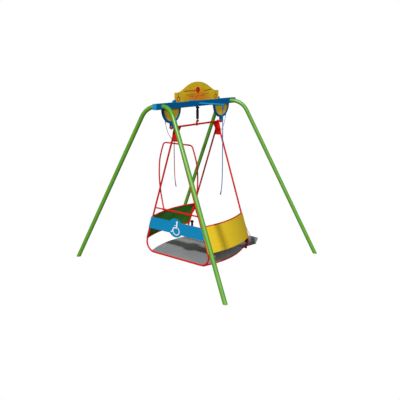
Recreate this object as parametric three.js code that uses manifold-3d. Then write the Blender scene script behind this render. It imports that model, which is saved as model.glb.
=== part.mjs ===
// Wheelchair-accessible playground swing: an A-frame stand carrying a caged boarding gondola.
// Millimetres, +Z up. X runs along the top beam (the boarding ramp is at +X), the gondola swings
// in Y, and the origin is on the ground below the middle of the beam.
import * as THREE from 'three';
import { mergeVertices } from 'three/addons/utils/BufferGeometryUtils.js';
import Module from 'manifold-3d';

const wasm = await Module();
wasm.setup();

// ---- driving dimensions ---------------------------------------------------------------------
const GAP = 0.3;                  // clearance left between pieces that touch
const SEAT_GAP = 0.5;             // clearance where a face only rests near another

const BEAM_TOP = 2993;
const BEAM_HEIGHT = 100;
const BEAM_WIDTH = 90;
const BEAM_WALL = 5;
const BEAM_HALF_LENGTH = 1150;
const CAP_THICK = 5;
const CAP_PLUG = 20;
const BEAM_Z = BEAM_TOP - BEAM_HEIGHT / 2;
const BEAM_BOTTOM = BEAM_TOP - BEAM_HEIGHT;

const LEG_RADIUS = 38.05;
const LEG_WALL = 3.6;
const LEG_BASE = 8;               // thickness of the closed foot of each leg
const LEG_TOP_X = 985;            // where a leg meets the side of the beam
const LEG_ELBOW_X = 1054;         // where its straight part would meet the beam's height
const LEG_ELBOW_Y = 273;
const FOOT_X = 1512;
const FOOT_Y = 1765;
const LEG_BEND = 340;

const AXLE_Z = 2562;
const AXLE_RADIUS = 17;
const AXLE_HALF_LENGTH = 760;
const AXLE_HEAD_RADIUS = 24;
const BRACKET_X = 730;            // centre of each bearing bracket
const BRACKET_HALF_WIDTH = 245;
const BRACKET_DROP = 258;
const BRACKET_RIM = 40;
const BRACKET_DEPTH = 30;
const INFILL_DEPTH = 10;
const HOUSING_RADIUS = 29;
const HOUSING_LENGTH = 36;
const BUSH_RADIUS = 21.5;
const CABLE_LUG_ANGLE = 233;      // degrees round the bracket's ellipse, outboard and down
const CABLE_LUG_REACH = 1.02;     // how far out it sits, as a share of the ellipse's radii
const CABLE_LUG_RADIUS = 15;
const HOUSING_NECK = 50;          // how far the housing's neck reaches up into the bracket's rim

const HOOP_X = 630;               // the gondola's two end hoops
const HOOP_RADIUS = 16.85;
const HOOP_WALL = 2.6;
const HOOP_BOTTOM = 104.5;
const HOOP_TOP = 2400;
const HOOP_BEND = 180;
const HOOP_SLOPE = 0.3408;        // half-width gained per millimetre down
const CROSSBAR_Z = 1006;
const CROSSBAR_HALF = 523;        // half-width of a hoop at the crossbar
const BAR_RADIUS = 13.45;
const BAR_WALL = 2.6;

const RAIL_BOW = 109;             // how far the side rails bulge at mid-length
const TOP_RAIL_Z = 818;
const MID_RAIL_Z = 366;
const BOTTOM_RAIL_Y = 626;
const BOTTOM_RAIL_BOW = 122;

const FRONT_PANEL_LOW = 589;
const FRONT_PANEL_HIGH = 817;
const FRONT_PANEL_THICK = 12;
const ROUNDEL_RADIUS = 180;
const SIDE_PANEL_LOW = 362;
const SIDE_PANEL_HIGH = 817;
const SIDE_PANEL_THICK = 8;
const FLOOR_THICK = 4;
const CROSS_MEMBER_X = 220;

const LOOP_OFFSET_X = 36;         // the raised restraint loop leans this far inboard of the hoop
const LOOP_OFFSET_Y = -22;
const LOOP_SLEEVE_HALF = 328;
const LOOP_HEIGHT = 1256;
const LATCH_Y = -235;             // the thumb latch on top of the loop's sleeve
const LATCH_LENGTH = 48;

const RAMP_HINGE_X = 664;
const RAMP_HINGE_Z = HOOP_BOTTOM;
const RAMP_HALF_WIDTH = 625;
const RAMP_THICK = 5;
const RAMP_DROP = 5.5;            // the lowered ramp runs down at this many degrees
const FLAP_HINGE_X = 1142;
const FLAP_LENGTH = 144;
const FLAP_ANGLE = 48;            // the flap stands this many degrees up from the ramp
const PIN_X = 670;
const PIN_Y = 687;
const PIN_RADIUS = 10;
const PIN_FOOT_RADIUS = 22;
const PIN_FOOT_Z = 102;

const ARM_RADIUS = 16.85;
const ARM_END = 605;
const ROPE_Y = 577;
const ROPE_RADIUS = 8;
const CABLE_RADIUS = 4;

const DAMPER_TOP_Z = 2863;        // upper pivot, below the beam
const DAMPER_LOW_Z = 2620;        // lower pivot, on the axle's lug
const TOP_EYE_RADIUS = 24;
const TOP_BOLT_RADIUS = 8;
const LOW_EYE_RADIUS = 20;
const LOW_EYE_BORE = 14.5;        // a rubber bush fills the rest round the lower bolt
const LOW_BOLT_RADIUS = 6;
const EYE_HALF = 12;
const NUT_THICK = 7;
const LUG_THICK = 12;
const LUG_HEAD_RADIUS = 13;       // round top of the axle's lug

// ---- helpers ---------------------------------------------------------------------------------
const vec = (x, y, z) => new THREE.Vector3(x, y, z);
const radians = THREE.MathUtils.degToRad;

/** A path that is sampled exactly at its own stations. */
class Route extends THREE.Curve {
  constructor(stations) {
    super();
    this.stations = stations;
  }

  get steps() {
    return this.stations.length - 1;
  }

  getPoint(t) {
    const place = t * this.steps;
    const index = Math.min(Math.floor(place), this.steps - 1);
    return this.stations[index].clone().lerp(this.stations[index + 1], place - index);
  }

  getPointAt(t) {
    return this.getPoint(t);
  }

  getTangentAt(t) {
    const index = Math.round(t * this.steps);
    const sum = vec(0, 0, 0);
    if (index > 0) {
      sum.add(this.stations[index].clone().sub(this.stations[index - 1]).normalize());
    }
    if (index < this.steps) {
      sum.add(this.stations[index + 1].clone().sub(this.stations[index]).normalize());
    }
    return sum.normalize();
  }
}

/** Straight runs between the corners, each inner corner rounded to one bend radius. */
function bentRoute(corners, radius, arcSteps) {
  const stations = [corners[0]];
  for (let i = 1; i < corners.length - 1; i += 1) {
    const back = corners[i - 1].clone().sub(corners[i]).normalize();
    const ahead = corners[i + 1].clone().sub(corners[i]).normalize();
    const half = back.angleTo(ahead) / 2;
    const centre = back.clone().add(ahead).normalize();
    centre.multiplyScalar(radius / Math.sin(half)).add(corners[i]);
    const start = corners[i].clone().addScaledVector(back, radius / Math.tan(half));
    const axis = back.clone().cross(ahead).normalize();
    const turn = -(Math.PI - 2 * half);
    for (let k = 0; k <= arcSteps; k += 1) {
      const spoke = start.clone().sub(centre).applyAxisAngle(axis, (turn * k) / arcSteps);
      stations.push(spoke.add(centre));
    }
  }
  stations.push(corners[corners.length - 1]);
  return new Route(stations);
}

function circlePoints(radius, sides, turn = 1) {
  const points = [];
  for (let k = 0; k < sides; k += 1) {
    const angle = (turn * 2 * Math.PI * k) / sides;
    points.push(new THREE.Vector2(radius * Math.cos(angle), radius * Math.sin(angle)));
  }
  return points;
}

/** A round bar along a route, or a pipe when an inner radius is given. */
function pipe(route, outer, inner = 0, sides = 12, boreSides = sides) {
  const shape = new THREE.Shape(circlePoints(outer, sides));
  if (inner > 0) {
    shape.holes.push(new THREE.Path(circlePoints(inner, boreSides, -1)));
  }
  return new THREE.ExtrudeGeometry(shape, { steps: route.steps, bevelEnabled: false, extrudePath: route });
}

const straight = (from, to) => new Route([from, to]);

/** An outline drawn in X and Z, given its thickness along Y about y = 0. */
function plateXZ(shape, thickness, curveSegments = 12) {
  const plate = new THREE.ExtrudeGeometry(shape, { depth: thickness, bevelEnabled: false, curveSegments });
  return plate.rotateX(Math.PI / 2).translate(0, thickness / 2, 0);
}

/** An outline drawn in Y and Z, given its thickness along X about x = 0. */
function plateYZ(shape, thickness, curveSegments = 12) {
  const plate = new THREE.ExtrudeGeometry(shape, { depth: thickness, bevelEnabled: false, curveSegments });
  plate.rotateY(Math.PI / 2).rotateX(Math.PI / 2);
  return plate.translate(-thickness / 2, 0, 0);
}

function block(width, depth, height, x, y, z) {
  return new THREE.BoxGeometry(width, depth, height).translate(x, y, z);
}

/** A round bar along one axis, between two places on it. */
function bar(axis, radius, low, high, centre, sides = 18) {
  const cylinder = new THREE.CylinderGeometry(radius, radius, high - low, sides);
  if (axis === 'x') {
    cylinder.rotateZ(Math.PI / 2).translate((low + high) / 2, centre.y, centre.z);
  } else if (axis === 'y') {
    cylinder.translate(centre.x, (low + high) / 2, centre.z);
  } else {
    cylinder.rotateX(Math.PI / 2).translate(centre.x, centre.y, (low + high) / 2);
  }
  return cylinder;
}

function toSolid(geometry) {
  const bare = geometry.clone();
  bare.deleteAttribute('normal');
  bare.deleteAttribute('uv');
  const merged = mergeVertices(bare, 1e-4);
  return new wasm.Manifold(new wasm.Mesh({
    numProp: 3,
    vertProperties: new Float32Array(merged.attributes.position.array),
    triVerts: new Uint32Array(merged.index.array),
  }));
}

function toGeometry(solid) {
  const mesh = solid.getMesh();
  const geometry = new THREE.BufferGeometry();
  geometry.setAttribute('position', new THREE.BufferAttribute(mesh.vertProperties, 3));
  geometry.setIndex(new THREE.BufferAttribute(mesh.triVerts, 1));
  geometry.computeVertexNormals();
  return geometry;
}

const asSolid = (item) => (item.isBufferGeometry ? toSolid(item) : item);
const join = (...items) => items.map(asSolid).reduce((whole, piece) => whole.add(piece));
const cut = (item, ...tools) => tools.map(asSolid).reduce((rest, tool) => rest.subtract(tool), asSolid(item));

const swing = new THREE.Group();

function place(name, item, color, roughness, metalness) {
  const geometry = item.isBufferGeometry ? item : toGeometry(item);
  const mesh = new THREE.Mesh(geometry, new THREE.MeshStandardMaterial({ color, roughness, metalness }));
  mesh.name = name;
  swing.add(mesh);
}

const green = (name, item) => place(name, item, 0x68a838, 0.35, 0.1);
const blue = (name, item) => place(name, item, 0x1269a8, 0.4, 0.1);
const red = (name, item) => place(name, item, 0xd81818, 0.4, 0.1);
const mustard = (name, item) => place(name, item, 0xd4b525, 0.55, 0);
const steel = (name, item) => place(name, item, 0xa9adb0, 0.35, 0.9);
const black = (name, item) => place(name, item, 0x1a1a1c, 0.6, 0);
const grey = (name, item) => place(name, item, 0x8a8d8f, 0.6, 0.6);

const ENDS = [['front', -1], ['rear', 1]];
const SIDES = [['left', -1], ['right', 1]];

// ---- the stand -------------------------------------------------------------------------------
const beamClearance = block(2 * BEAM_HALF_LENGTH, BEAM_WIDTH + 2 * GAP, BEAM_HEIGHT, 0, 0, BEAM_Z);

function leg(end, side) {
  const elbow = vec(end * LEG_ELBOW_X, side * LEG_ELBOW_Y, BEAM_Z);
  const foot = vec(end * FOOT_X, side * FOOT_Y, 0);
  const below = foot.clone().addScaledVector(foot.clone().sub(elbow).normalize(), 2 * LEG_RADIUS);
  const inBeam = vec(end * LEG_TOP_X, side * BEAM_WIDTH / 4, BEAM_Z);
  const route = bentRoute([below, elbow, inBeam], LEG_BEND, 7);
  const ground = block(400, 400, 200, foot.x, foot.y, -100);
  const base = block(400, 400, 200, foot.x, foot.y, LEG_BASE - 100);
  const bore = cut(pipe(route, LEG_RADIUS - LEG_WALL, 0, 8), base);
  return cut(pipe(route, LEG_RADIUS, 0, 16), bore, ground, beamClearance);
}

function topBeam() {
  const outer = block(2 * BEAM_HALF_LENGTH, BEAM_WIDTH, BEAM_HEIGHT, 0, 0, BEAM_Z);
  const hollow = block(2 * BEAM_HALF_LENGTH + 10, BEAM_WIDTH - 2 * BEAM_WALL,
    BEAM_HEIGHT - 2 * BEAM_WALL, 0, 0, BEAM_Z);
  return cut(outer, hollow);
}

/** A closure for one end of the beam: a flat face with a plug inside the hollow. */
function beamCap(end) {
  const face = block(CAP_THICK, BEAM_WIDTH, BEAM_HEIGHT, CAP_THICK / 2 + GAP, 0, BEAM_Z);
  const inset = 2 * (BEAM_WALL + GAP);
  const plug = block(CAP_PLUG, BEAM_WIDTH - inset, BEAM_HEIGHT - inset, GAP - CAP_PLUG / 2 + 1, 0, BEAM_Z);
  const cap = toGeometry(join(face, plug)).translate(BEAM_HALF_LENGTH, 0, 0);
  return end < 0 ? cap.rotateZ(Math.PI) : cap;
}

function halfEllipse(halfWidth, drop) {
  const shape = new THREE.Shape();
  shape.absellipse(0, 0, halfWidth, drop, Math.PI, 2 * Math.PI, false);
  shape.closePath();
  return shape;
}

const NECK_LIFT = (BRACKET_RIM + HOUSING_NECK) / 2;

/** The U-shaped bearing bracket with its hanging bearing housing and the cable lug. */
function bearingBracket(end) {
  const rim = halfEllipse(BRACKET_HALF_WIDTH, BRACKET_DROP);
  const inside = halfEllipse(BRACKET_HALF_WIDTH - BRACKET_RIM, BRACKET_DROP - BRACKET_RIM);
  const top = BEAM_BOTTOM - GAP;
  const angle = radians(CABLE_LUG_ANGLE);
  const lugCentre = vec(
    Math.cos(angle) * BRACKET_HALF_WIDTH * CABLE_LUG_REACH,
    0,
    top + Math.sin(angle) * BRACKET_DROP * CABLE_LUG_REACH,
  );
  const lug = bar('y', CABLE_LUG_RADIUS, -8, 8, lugCentre, 16);
  if (end > 0) {
    lug.scale(-1, 1, 1);
    lug.index.array.reverse();
  }
  const housing = join(
    bar('x', HOUSING_RADIUS, -HOUSING_LENGTH / 2, HOUSING_LENGTH / 2, vec(0, 0, AXLE_Z)),
    block(HOUSING_LENGTH, 2 * HOUSING_RADIUS, BRACKET_RIM + HOUSING_NECK, 0, 0, AXLE_Z + NECK_LIFT),
  );
  const whole = join(
    cut(plateXZ(rim, BRACKET_DEPTH, 16).translate(0, 0, top),
      plateXZ(inside, BRACKET_DEPTH * 2, 14).translate(0, 0, top)),
    lug,
    housing,
  );
  const bore = bar('x', BUSH_RADIUS + GAP, -HOUSING_LENGTH, HOUSING_LENGTH, vec(0, 0, AXLE_Z));
  return toGeometry(cut(whole, bore)).translate(end * BRACKET_X, 0, 0);
}

function bracketInfill(end) {
  const inset = BRACKET_RIM + GAP;
  const shape = halfEllipse(BRACKET_HALF_WIDTH - inset, BRACKET_DROP - inset);
  const infill = plateXZ(shape, INFILL_DEPTH, 14).translate(0, 0, BEAM_BOTTOM - GAP);
  const neckHeight = BRACKET_RIM + HOUSING_NECK + 2;
  const housingRoom = block(HOUSING_LENGTH + 1, 2 * HOUSING_RADIUS + 1, neckHeight, 0, 0, AXLE_Z + NECK_LIFT);
  return toGeometry(cut(infill, housingRoom)).translate(end * BRACKET_X, 0, 0);
}

function bearingBush(end) {
  const low = end * BRACKET_X - HOUSING_LENGTH / 2;
  const route = straight(vec(low, 0, AXLE_Z), vec(low + HOUSING_LENGTH, 0, AXLE_Z));
  return pipe(route, BUSH_RADIUS, AXLE_RADIUS + 0.6, 18, 18);
}

// The arched name board that stands on the beam.
const SIGN_HALF = 632;
const SIGN_SHOULDER = 165;
const SIGN_SHOULDER_X = 545;
const SIGN_TOP = 338;
const SIGN_THICK = 18;
const CLIP_LENGTH = 34;
const CLIP_DEPTH = 44;
const CLIP_HEIGHT = 42;

function signPanel() {
  const shape = new THREE.Shape();
  shape.moveTo(-SIGN_HALF, 0);
  shape.lineTo(SIGN_HALF, 0);
  shape.lineTo(SIGN_HALF, SIGN_SHOULDER);
  shape.lineTo(SIGN_SHOULDER_X, SIGN_SHOULDER);
  shape.bezierCurveTo(400, SIGN_SHOULDER + 12, 290, SIGN_TOP, 0, SIGN_TOP);
  shape.bezierCurveTo(-290, SIGN_TOP, -400, SIGN_SHOULDER + 12, -SIGN_SHOULDER_X, SIGN_SHOULDER);
  shape.lineTo(-SIGN_HALF, SIGN_SHOULDER);
  shape.closePath();
  return plateXZ(shape, SIGN_THICK, 10).translate(0, 0, BEAM_TOP + GAP);
}

function signClip(end) {
  const clip = block(CLIP_LENGTH, CLIP_DEPTH, CLIP_HEIGHT, end * (SIGN_HALF + 6), 0,
    BEAM_TOP + GAP + CLIP_HEIGHT / 2);
  const slot = block(60, SIGN_THICK + 2 * GAP, 80, end * (SIGN_HALF + GAP - 30), 0, BEAM_TOP + 20);
  return cut(clip, slot);
}

// ---- pull ropes and their arms ---------------------------------------------------------------
const EYE_RING = 14;              // radius of the ring's bar circle
const EYE_BAR = 4;
const EYE_Z = BEAM_Z - ARM_RADIUS - 26;

function ropeArm(side) {
  const root = vec(0, side * (BEAM_WIDTH / 2 + GAP), BEAM_Z);
  const tip = vec(0, side * ARM_END, BEAM_Z);
  const bolt = bar('z', EYE_BAR + GAP, BEAM_Z - 40, BEAM_Z, vec(0, side * ROPE_Y, 0), 12);
  return cut(pipe(straight(root, tip), ARM_RADIUS, ARM_RADIUS - HOOP_WALL, 18, 8), bolt);
}

function ropeEye(side) {
  const ring = new THREE.TorusGeometry(EYE_RING, EYE_BAR, 6, 16);
  ring.rotateX(Math.PI / 2).translate(0, side * ROPE_Y, EYE_Z);
  const shank = bar('z', EYE_BAR, EYE_Z + EYE_RING, BEAM_Z - 6, vec(0, side * ROPE_Y, 0), 12);
  return join(ring, shank);
}

// Route of the left-hand rope: straight down from its eye, the free end curling inwards.
const ROPE_TOP = EYE_Z - EYE_RING - EYE_BAR - GAP;
const ROPE_POINTS = [
  [0, -577, ROPE_TOP], [0, -577, 2780], [1, -578, 2600], [1, -579, 2400], [0, -580, 2200], [0, -581, 2000],
  [0, -581, 1850], [1, -580, 1700], [1, -576, 1560], [0, -568, 1440], [0, -556, 1360], [0, -542, 1300],
];
function ropePoints(side) {
  return ROPE_POINTS.map(([x, y, z]) => vec(x, -side * y, z));
}

function pullRope(side) {
  const curve = new THREE.CatmullRomCurve3(ropePoints(side), false, 'centripetal');
  return pipe(new Route(curve.getSpacedPoints(40)), ROPE_RADIUS, 0, 8);
}

// ---- the damper between beam and axle --------------------------------------------------------
const LUG_X = -(EYE_HALF + SEAT_GAP + LUG_THICK / 2);

/** The outline round two circles, one above the other. */
function earShape(lowZ, lowRadius, highZ, highRadius) {
  const shape = new THREE.Shape();
  shape.absarc(0, highZ, highRadius, 0, Math.PI, false);
  shape.absarc(0, lowZ, lowRadius, Math.PI, 2 * Math.PI, false);
  shape.closePath();
  return shape;
}

function damperTopLug() {
  const shape = new THREE.Shape();
  const top = BEAM_BOTTOM - GAP;
  shape.moveTo(24, top);
  shape.lineTo(-24, top);
  shape.absarc(0, DAMPER_TOP_Z, 19, Math.PI, 2 * Math.PI, false);
  shape.closePath();
  const hole = bar('x', TOP_BOLT_RADIUS + GAP, LUG_X - 20, LUG_X + 20, vec(0, 0, DAMPER_TOP_Z));
  return cut(plateYZ(shape, LUG_THICK).translate(LUG_X, 0, 0), hole);
}

/** A bolt along X: a round spacer and a hexagon head on the +X side, a thin nut behind the lug. */
function damperBolt(z, shank, head, spacer) {
  const centre = vec(0, 0, z);
  const eyeFront = EYE_HALF + SEAT_GAP;
  const tip = eyeFront + spacer + NUT_THICK;
  const lugBack = LUG_X - LUG_THICK / 2 - SEAT_GAP;
  return join(
    bar('x', shank, lugBack - NUT_THICK, tip, centre, 12),
    bar('x', head, eyeFront, eyeFront + spacer, centre, 16),
    bar('x', head - 2, eyeFront + spacer, tip, centre, 6),
    bar('x', shank + 4, lugBack - NUT_THICK, lugBack, centre, 6),
  );
}

const DAMPER_RADIUS = 25;
const DAMPER_HIGH = 2826;
const DAMPER_LOW = 2659;
const DAMPER_WALL = 5;
const DAMPER_END = 12;            // thickness of the cylinder's closed top
const DAMPER_GUIDE = 8;           // thickness of its rod guide
const ROD_RADIUS = 9;
const PISTON_LOW = 2760;
const PISTON_HIGH = 2782;

function revolve(profile, segments = 18) {
  const points = profile.map(([radius, z]) => new THREE.Vector2(radius, z));
  return new THREE.LatheGeometry(points, segments).rotateX(Math.PI / 2);
}

function damperCylinder() {
  const body = revolve([
    [0, DAMPER_HIGH - DAMPER_END], [DAMPER_RADIUS - DAMPER_WALL, DAMPER_HIGH - DAMPER_END],
    [DAMPER_RADIUS - DAMPER_WALL, DAMPER_LOW + DAMPER_GUIDE],
    [ROD_RADIUS + SEAT_GAP, DAMPER_LOW + DAMPER_GUIDE],
    [ROD_RADIUS + SEAT_GAP, DAMPER_LOW], [DAMPER_RADIUS, DAMPER_LOW],
    [DAMPER_RADIUS, DAMPER_HIGH - 6], [DAMPER_RADIUS - 6, DAMPER_HIGH], [0, DAMPER_HIGH],
  ]);
  const eye = bar('x', TOP_EYE_RADIUS, -EYE_HALF, EYE_HALF, vec(0, 0, DAMPER_TOP_Z));
  const neck = block(2 * EYE_HALF, 30, 30, 0, 0, DAMPER_HIGH + 10);
  const hole = bar('x', TOP_BOLT_RADIUS + SEAT_GAP, -20, 20, vec(0, 0, DAMPER_TOP_Z));
  return cut(join(body, eye, neck), hole);
}

function damperRod() {
  const pistonRadius = DAMPER_RADIUS - DAMPER_WALL - SEAT_GAP;
  const rod = revolve([
    [0, DAMPER_LOW_Z + LOW_EYE_BORE], [ROD_RADIUS, DAMPER_LOW_Z + LOW_EYE_BORE], [ROD_RADIUS, PISTON_LOW],
    [pistonRadius, PISTON_LOW], [pistonRadius, PISTON_HIGH], [0, PISTON_HIGH],
  ]);
  const eye = bar('x', LOW_EYE_RADIUS, -EYE_HALF, EYE_HALF, vec(0, 0, DAMPER_LOW_Z));
  const hole = bar('x', LOW_EYE_BORE, -20, 20, vec(0, 0, DAMPER_LOW_Z));
  return cut(join(rod, eye), hole);
}

function axleLug() {
  const shape = earShape(AXLE_Z, AXLE_RADIUS + 11, DAMPER_LOW_Z, LUG_HEAD_RADIUS);
  const plate = plateYZ(shape, LUG_THICK).translate(LUG_X, 0, 0);
  const axleRoom = bar('x', AXLE_RADIUS + GAP, -60, 60, vec(0, 0, AXLE_Z));
  const boltRoom = bar('x', LOW_BOLT_RADIUS + GAP, -60, 60, vec(0, 0, DAMPER_LOW_Z), 16);
  return cut(plate, axleRoom, boltRoom);
}

// ---- the gondola -----------------------------------------------------------------------------
function axle() {
  const headInner = BRACKET_X + HOUSING_LENGTH / 2 + SEAT_GAP;
  const profile = [
    [0, -AXLE_HALF_LENGTH], [AXLE_HEAD_RADIUS, -AXLE_HALF_LENGTH], [AXLE_HEAD_RADIUS, -headInner],
    [AXLE_RADIUS, -headInner], [AXLE_RADIUS, headInner],
    [AXLE_HEAD_RADIUS, headInner], [AXLE_HEAD_RADIUS, AXLE_HALF_LENGTH], [0, AXLE_HALF_LENGTH],
  ];
  return revolve(profile).rotateY(Math.PI / 2).translate(0, 0, AXLE_Z);
}

const hoopHalf = (z) => CROSSBAR_HALF + HOOP_SLOPE * (CROSSBAR_Z - z);

function hoopRoute(end) {
  const x = end * HOOP_X;
  const corners = [
    vec(x, hoopHalf(HOOP_TOP), HOOP_TOP), vec(x, hoopHalf(HOOP_BOTTOM), HOOP_BOTTOM),
    vec(x, -hoopHalf(HOOP_BOTTOM), HOOP_BOTTOM), vec(x, -hoopHalf(HOOP_TOP), HOOP_TOP),
  ];
  return bentRoute(corners, HOOP_BEND, 6);
}

const hoop = (end) => pipe(hoopRoute(end), HOOP_RADIUS, HOOP_RADIUS - HOOP_WALL, 12, 6);
const hoopRoom = ENDS.map(([, end]) => toSolid(pipe(hoopRoute(end), HOOP_RADIUS + GAP, 0, 12)));

const APEX_ROUND = 30;            // radius of the plate over the axle
const APEX_SHOULDER = 68;         // its half-width where the hoop's legs end
const APEX_LOW = 2303;
const BRACE_DROP = 225;
const BRACE_REACH = 156;

/** The web plate that closes the top of a hoop, takes the axle and is braced inboard. */
function apexPlate(end) {
  const low = APEX_LOW - AXLE_Z;
  const shoulder = HOOP_TOP - AXLE_Z - 5;
  const tubeHalf = (HOOP_RADIUS + 1) / Math.cos(Math.atan(HOOP_SLOPE));
  const lowHalf = hoopHalf(AXLE_Z + low) - tubeHalf;
  const neckHalf = hoopHalf(AXLE_Z + shoulder) - tubeHalf;
  const rise = shoulder + 0.5 + HOOP_SLOPE * (APEX_SHOULDER - neckHalf);
  const shape = new THREE.Shape();
  shape.moveTo(-lowHalf, low);
  shape.lineTo(lowHalf, low);
  shape.lineTo(neckHalf, shoulder + 0.5);
  shape.lineTo(APEX_SHOULDER, rise);
  shape.absarc(0, 0, APEX_ROUND, 0, Math.PI, false);
  shape.lineTo(-APEX_SHOULDER, rise);
  shape.lineTo(-neckHalf, shoulder + 0.5);
  shape.closePath();
  const brace = new THREE.Shape();
  const braceTop = -AXLE_RADIUS - 0.5;
  brace.moveTo(0, braceTop);
  brace.lineTo(0, braceTop - BRACE_DROP);
  brace.lineTo(-end * 6, braceTop - BRACE_DROP);
  brace.lineTo(-end * BRACE_REACH, braceTop);
  brace.closePath();
  const plate = plateYZ(shape, 12);
  const whole = join(plate, plateXZ(brace, 8));
  const bore = bar('x', AXLE_RADIUS + GAP, -20, 20, vec(0, 0, 0));
  return toGeometry(cut(whole, bore)).translate(end * HOOP_X, 0, AXLE_Z);
}

function crossbar() {
  const x = -HOOP_X;
  const route = straight(vec(x, -CROSSBAR_HALF, CROSSBAR_Z), vec(x, CROSSBAR_HALF, CROSSBAR_Z));
  return cut(pipe(route, BAR_RADIUS, BAR_RADIUS - BAR_WALL, 16, 6), hoopRoom[0]);
}

/** How far a bowed rail stands out, as a share of its bow, at a place along X. */
const bowShare = (x) => 1 - (x / HOOP_X) ** 2;

function rail(side, endY, bow, z, radius) {
  const stations = [];
  const steps = 9;
  for (let k = 0; k <= steps; k += 1) {
    const x = HOOP_X * ((2 * k) / steps - 1);
    stations.push(vec(x, side * (endY + bow * bowShare(x)), z));
  }
  return cut(pipe(new Route(stations), radius, radius - BAR_WALL, 10, 6), ...hoopRoom);
}

function frontPanel() {
  const edge = HOOP_RADIUS + 0.5;
  const lowHalf = hoopHalf(FRONT_PANEL_LOW) + edge;
  const highHalf = hoopHalf(FRONT_PANEL_HIGH) + edge;
  const middle = (FRONT_PANEL_LOW + FRONT_PANEL_HIGH) / 2;
  const lift = Math.asin((FRONT_PANEL_HIGH - middle) / ROUNDEL_RADIUS);
  const shape = new THREE.Shape();
  shape.moveTo(lowHalf, FRONT_PANEL_LOW);
  shape.lineTo(highHalf, FRONT_PANEL_HIGH);
  shape.absarc(0, middle, ROUNDEL_RADIUS, lift, Math.PI - lift, false);
  shape.lineTo(-highHalf, FRONT_PANEL_HIGH);
  shape.lineTo(-lowHalf, FRONT_PANEL_LOW);
  shape.absarc(0, middle, ROUNDEL_RADIUS, Math.PI + lift, 2 * Math.PI - lift, false);
  shape.closePath();
  const x = -(HOOP_X + HOOP_RADIUS + SEAT_GAP + FRONT_PANEL_THICK / 2);
  return plateYZ(shape, FRONT_PANEL_THICK, 16).translate(x, 0, 0);
}

/** A bowed board outside the two upper side rails, leaning in at the slope of the hoops. */
function sidePanel(side) {
  const half = HOOP_X + 12;
  const inner = hoopHalf(0) + (HOOP_RADIUS + 1) / Math.cos(Math.atan(HOOP_SLOPE));
  const near = [];
  const far = [];
  const steps = 16;
  for (let k = 0; k <= steps; k += 1) {
    const x = half * ((2 * k) / steps - 1);
    const y = inner + RAIL_BOW * bowShare(x);
    near.push(new THREE.Vector2(x, y));
    far.unshift(new THREE.Vector2(x, y + SIDE_PANEL_THICK));
  }
  const outline = new THREE.Shape([...near, ...far]);
  const height = SIDE_PANEL_HIGH - SIDE_PANEL_LOW;
  const panel = new THREE.ExtrudeGeometry(outline, { depth: height, bevelEnabled: false });
  panel.translate(0, 0, SIDE_PANEL_LOW);
  panel.applyMatrix4(new THREE.Matrix4().makeShear(0, 0, 0, 0, 0, -HOOP_SLOPE));
  return side < 0 ? panel.rotateZ(Math.PI) : panel;
}

const FLOOR_Z = HOOP_BOTTOM + HOOP_RADIUS + SEAT_GAP;

function floorPlate() {
  const half = HOOP_X - HOOP_RADIUS - SEAT_GAP;
  const outline = [];
  const steps = 16;
  for (const side of [-1, 1]) {
    for (let k = 0; k <= steps; k += 1) {
      const x = -side * half * ((2 * k) / steps - 1);
      outline.push(new THREE.Vector2(x, side * (BOTTOM_RAIL_Y + 8 + BOTTOM_RAIL_BOW * bowShare(x))));
    }
  }
  const shape = new THREE.Shape(outline);
  const plate = new THREE.ExtrudeGeometry(shape, { depth: FLOOR_THICK, bevelEnabled: false });
  return plate.translate(0, 0, FLOOR_Z);
}

function crossMember(end) {
  const x = end * CROSS_MEMBER_X;
  const half = BOTTOM_RAIL_Y + BOTTOM_RAIL_BOW * bowShare(CROSS_MEMBER_X + 20) - HOOP_RADIUS - 1;
  return block(40, 2 * half, 24, x, 0, FLOOR_Z - GAP - 12);
}

// ---- the restraint loop ----------------------------------------------------------------------
// Half outline of the loop: distance from its middle and height over the crossbar.
const LOOP_OUTLINE = [
  [316, 0], [345, 45], [380, 110], [410, 220], [441, 400], [457, 600], [455, 760], [440, 920], [403, 1060],
  [371, 1150], [352, 1202], [335, 1232], [308, 1250], [272, LOOP_HEIGHT], [110, LOOP_HEIGHT],
];

function loopPoint(side, [half, height]) {
  const lean = LOOP_OFFSET_X * THREE.MathUtils.smoothstep(height, -10, 150);
  return vec(-HOOP_X + lean, LOOP_OFFSET_Y + side * half, CROSSBAR_Z + height);
}

function restraintLoop() {
  const rising = LOOP_OUTLINE.map((point) => loopPoint(-1, point));
  const falling = LOOP_OUTLINE.map((point) => loopPoint(1, point)).reverse();
  const curve = new THREE.CatmullRomCurve3([...rising, ...falling], false, 'centripetal');
  const route = new Route(curve.getPoints(58));
  const axis = (reach) => straight(
    vec(-HOOP_X, LOOP_OFFSET_Y - reach, CROSSBAR_Z),
    vec(-HOOP_X, LOOP_OFFSET_Y + reach, CROSSBAR_Z),
  );
  const latch = block(20, LATCH_LENGTH, 24, -HOOP_X, LATCH_Y, CROSSBAR_Z + HOOP_RADIUS);
  const whole = join(pipe(route, BAR_RADIUS, 0, 10), pipe(axis(LOOP_SLEEVE_HALF), HOOP_RADIUS, 0, 16), latch);
  const hollow = pipe(route, BAR_RADIUS - BAR_WALL, 0, 6);
  return cut(whole, hollow, pipe(axis(LOOP_SLEEVE_HALF + 20), BAR_RADIUS + 0.8, 0, 16));
}

// ---- ramp, flap and their hinges -------------------------------------------------------------
const HINGE_ROD = 6;
const HINGE_LUGS = [-545, 0, 545];
const LUG_HALF = 6;
const KNUCKLE_RADIUS = 11;
const RAMP_EDGE_ROD = 8;
const FLAP_TABS = [-617, -200, 200, 617];
const TAB_HALF = 7;

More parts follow.
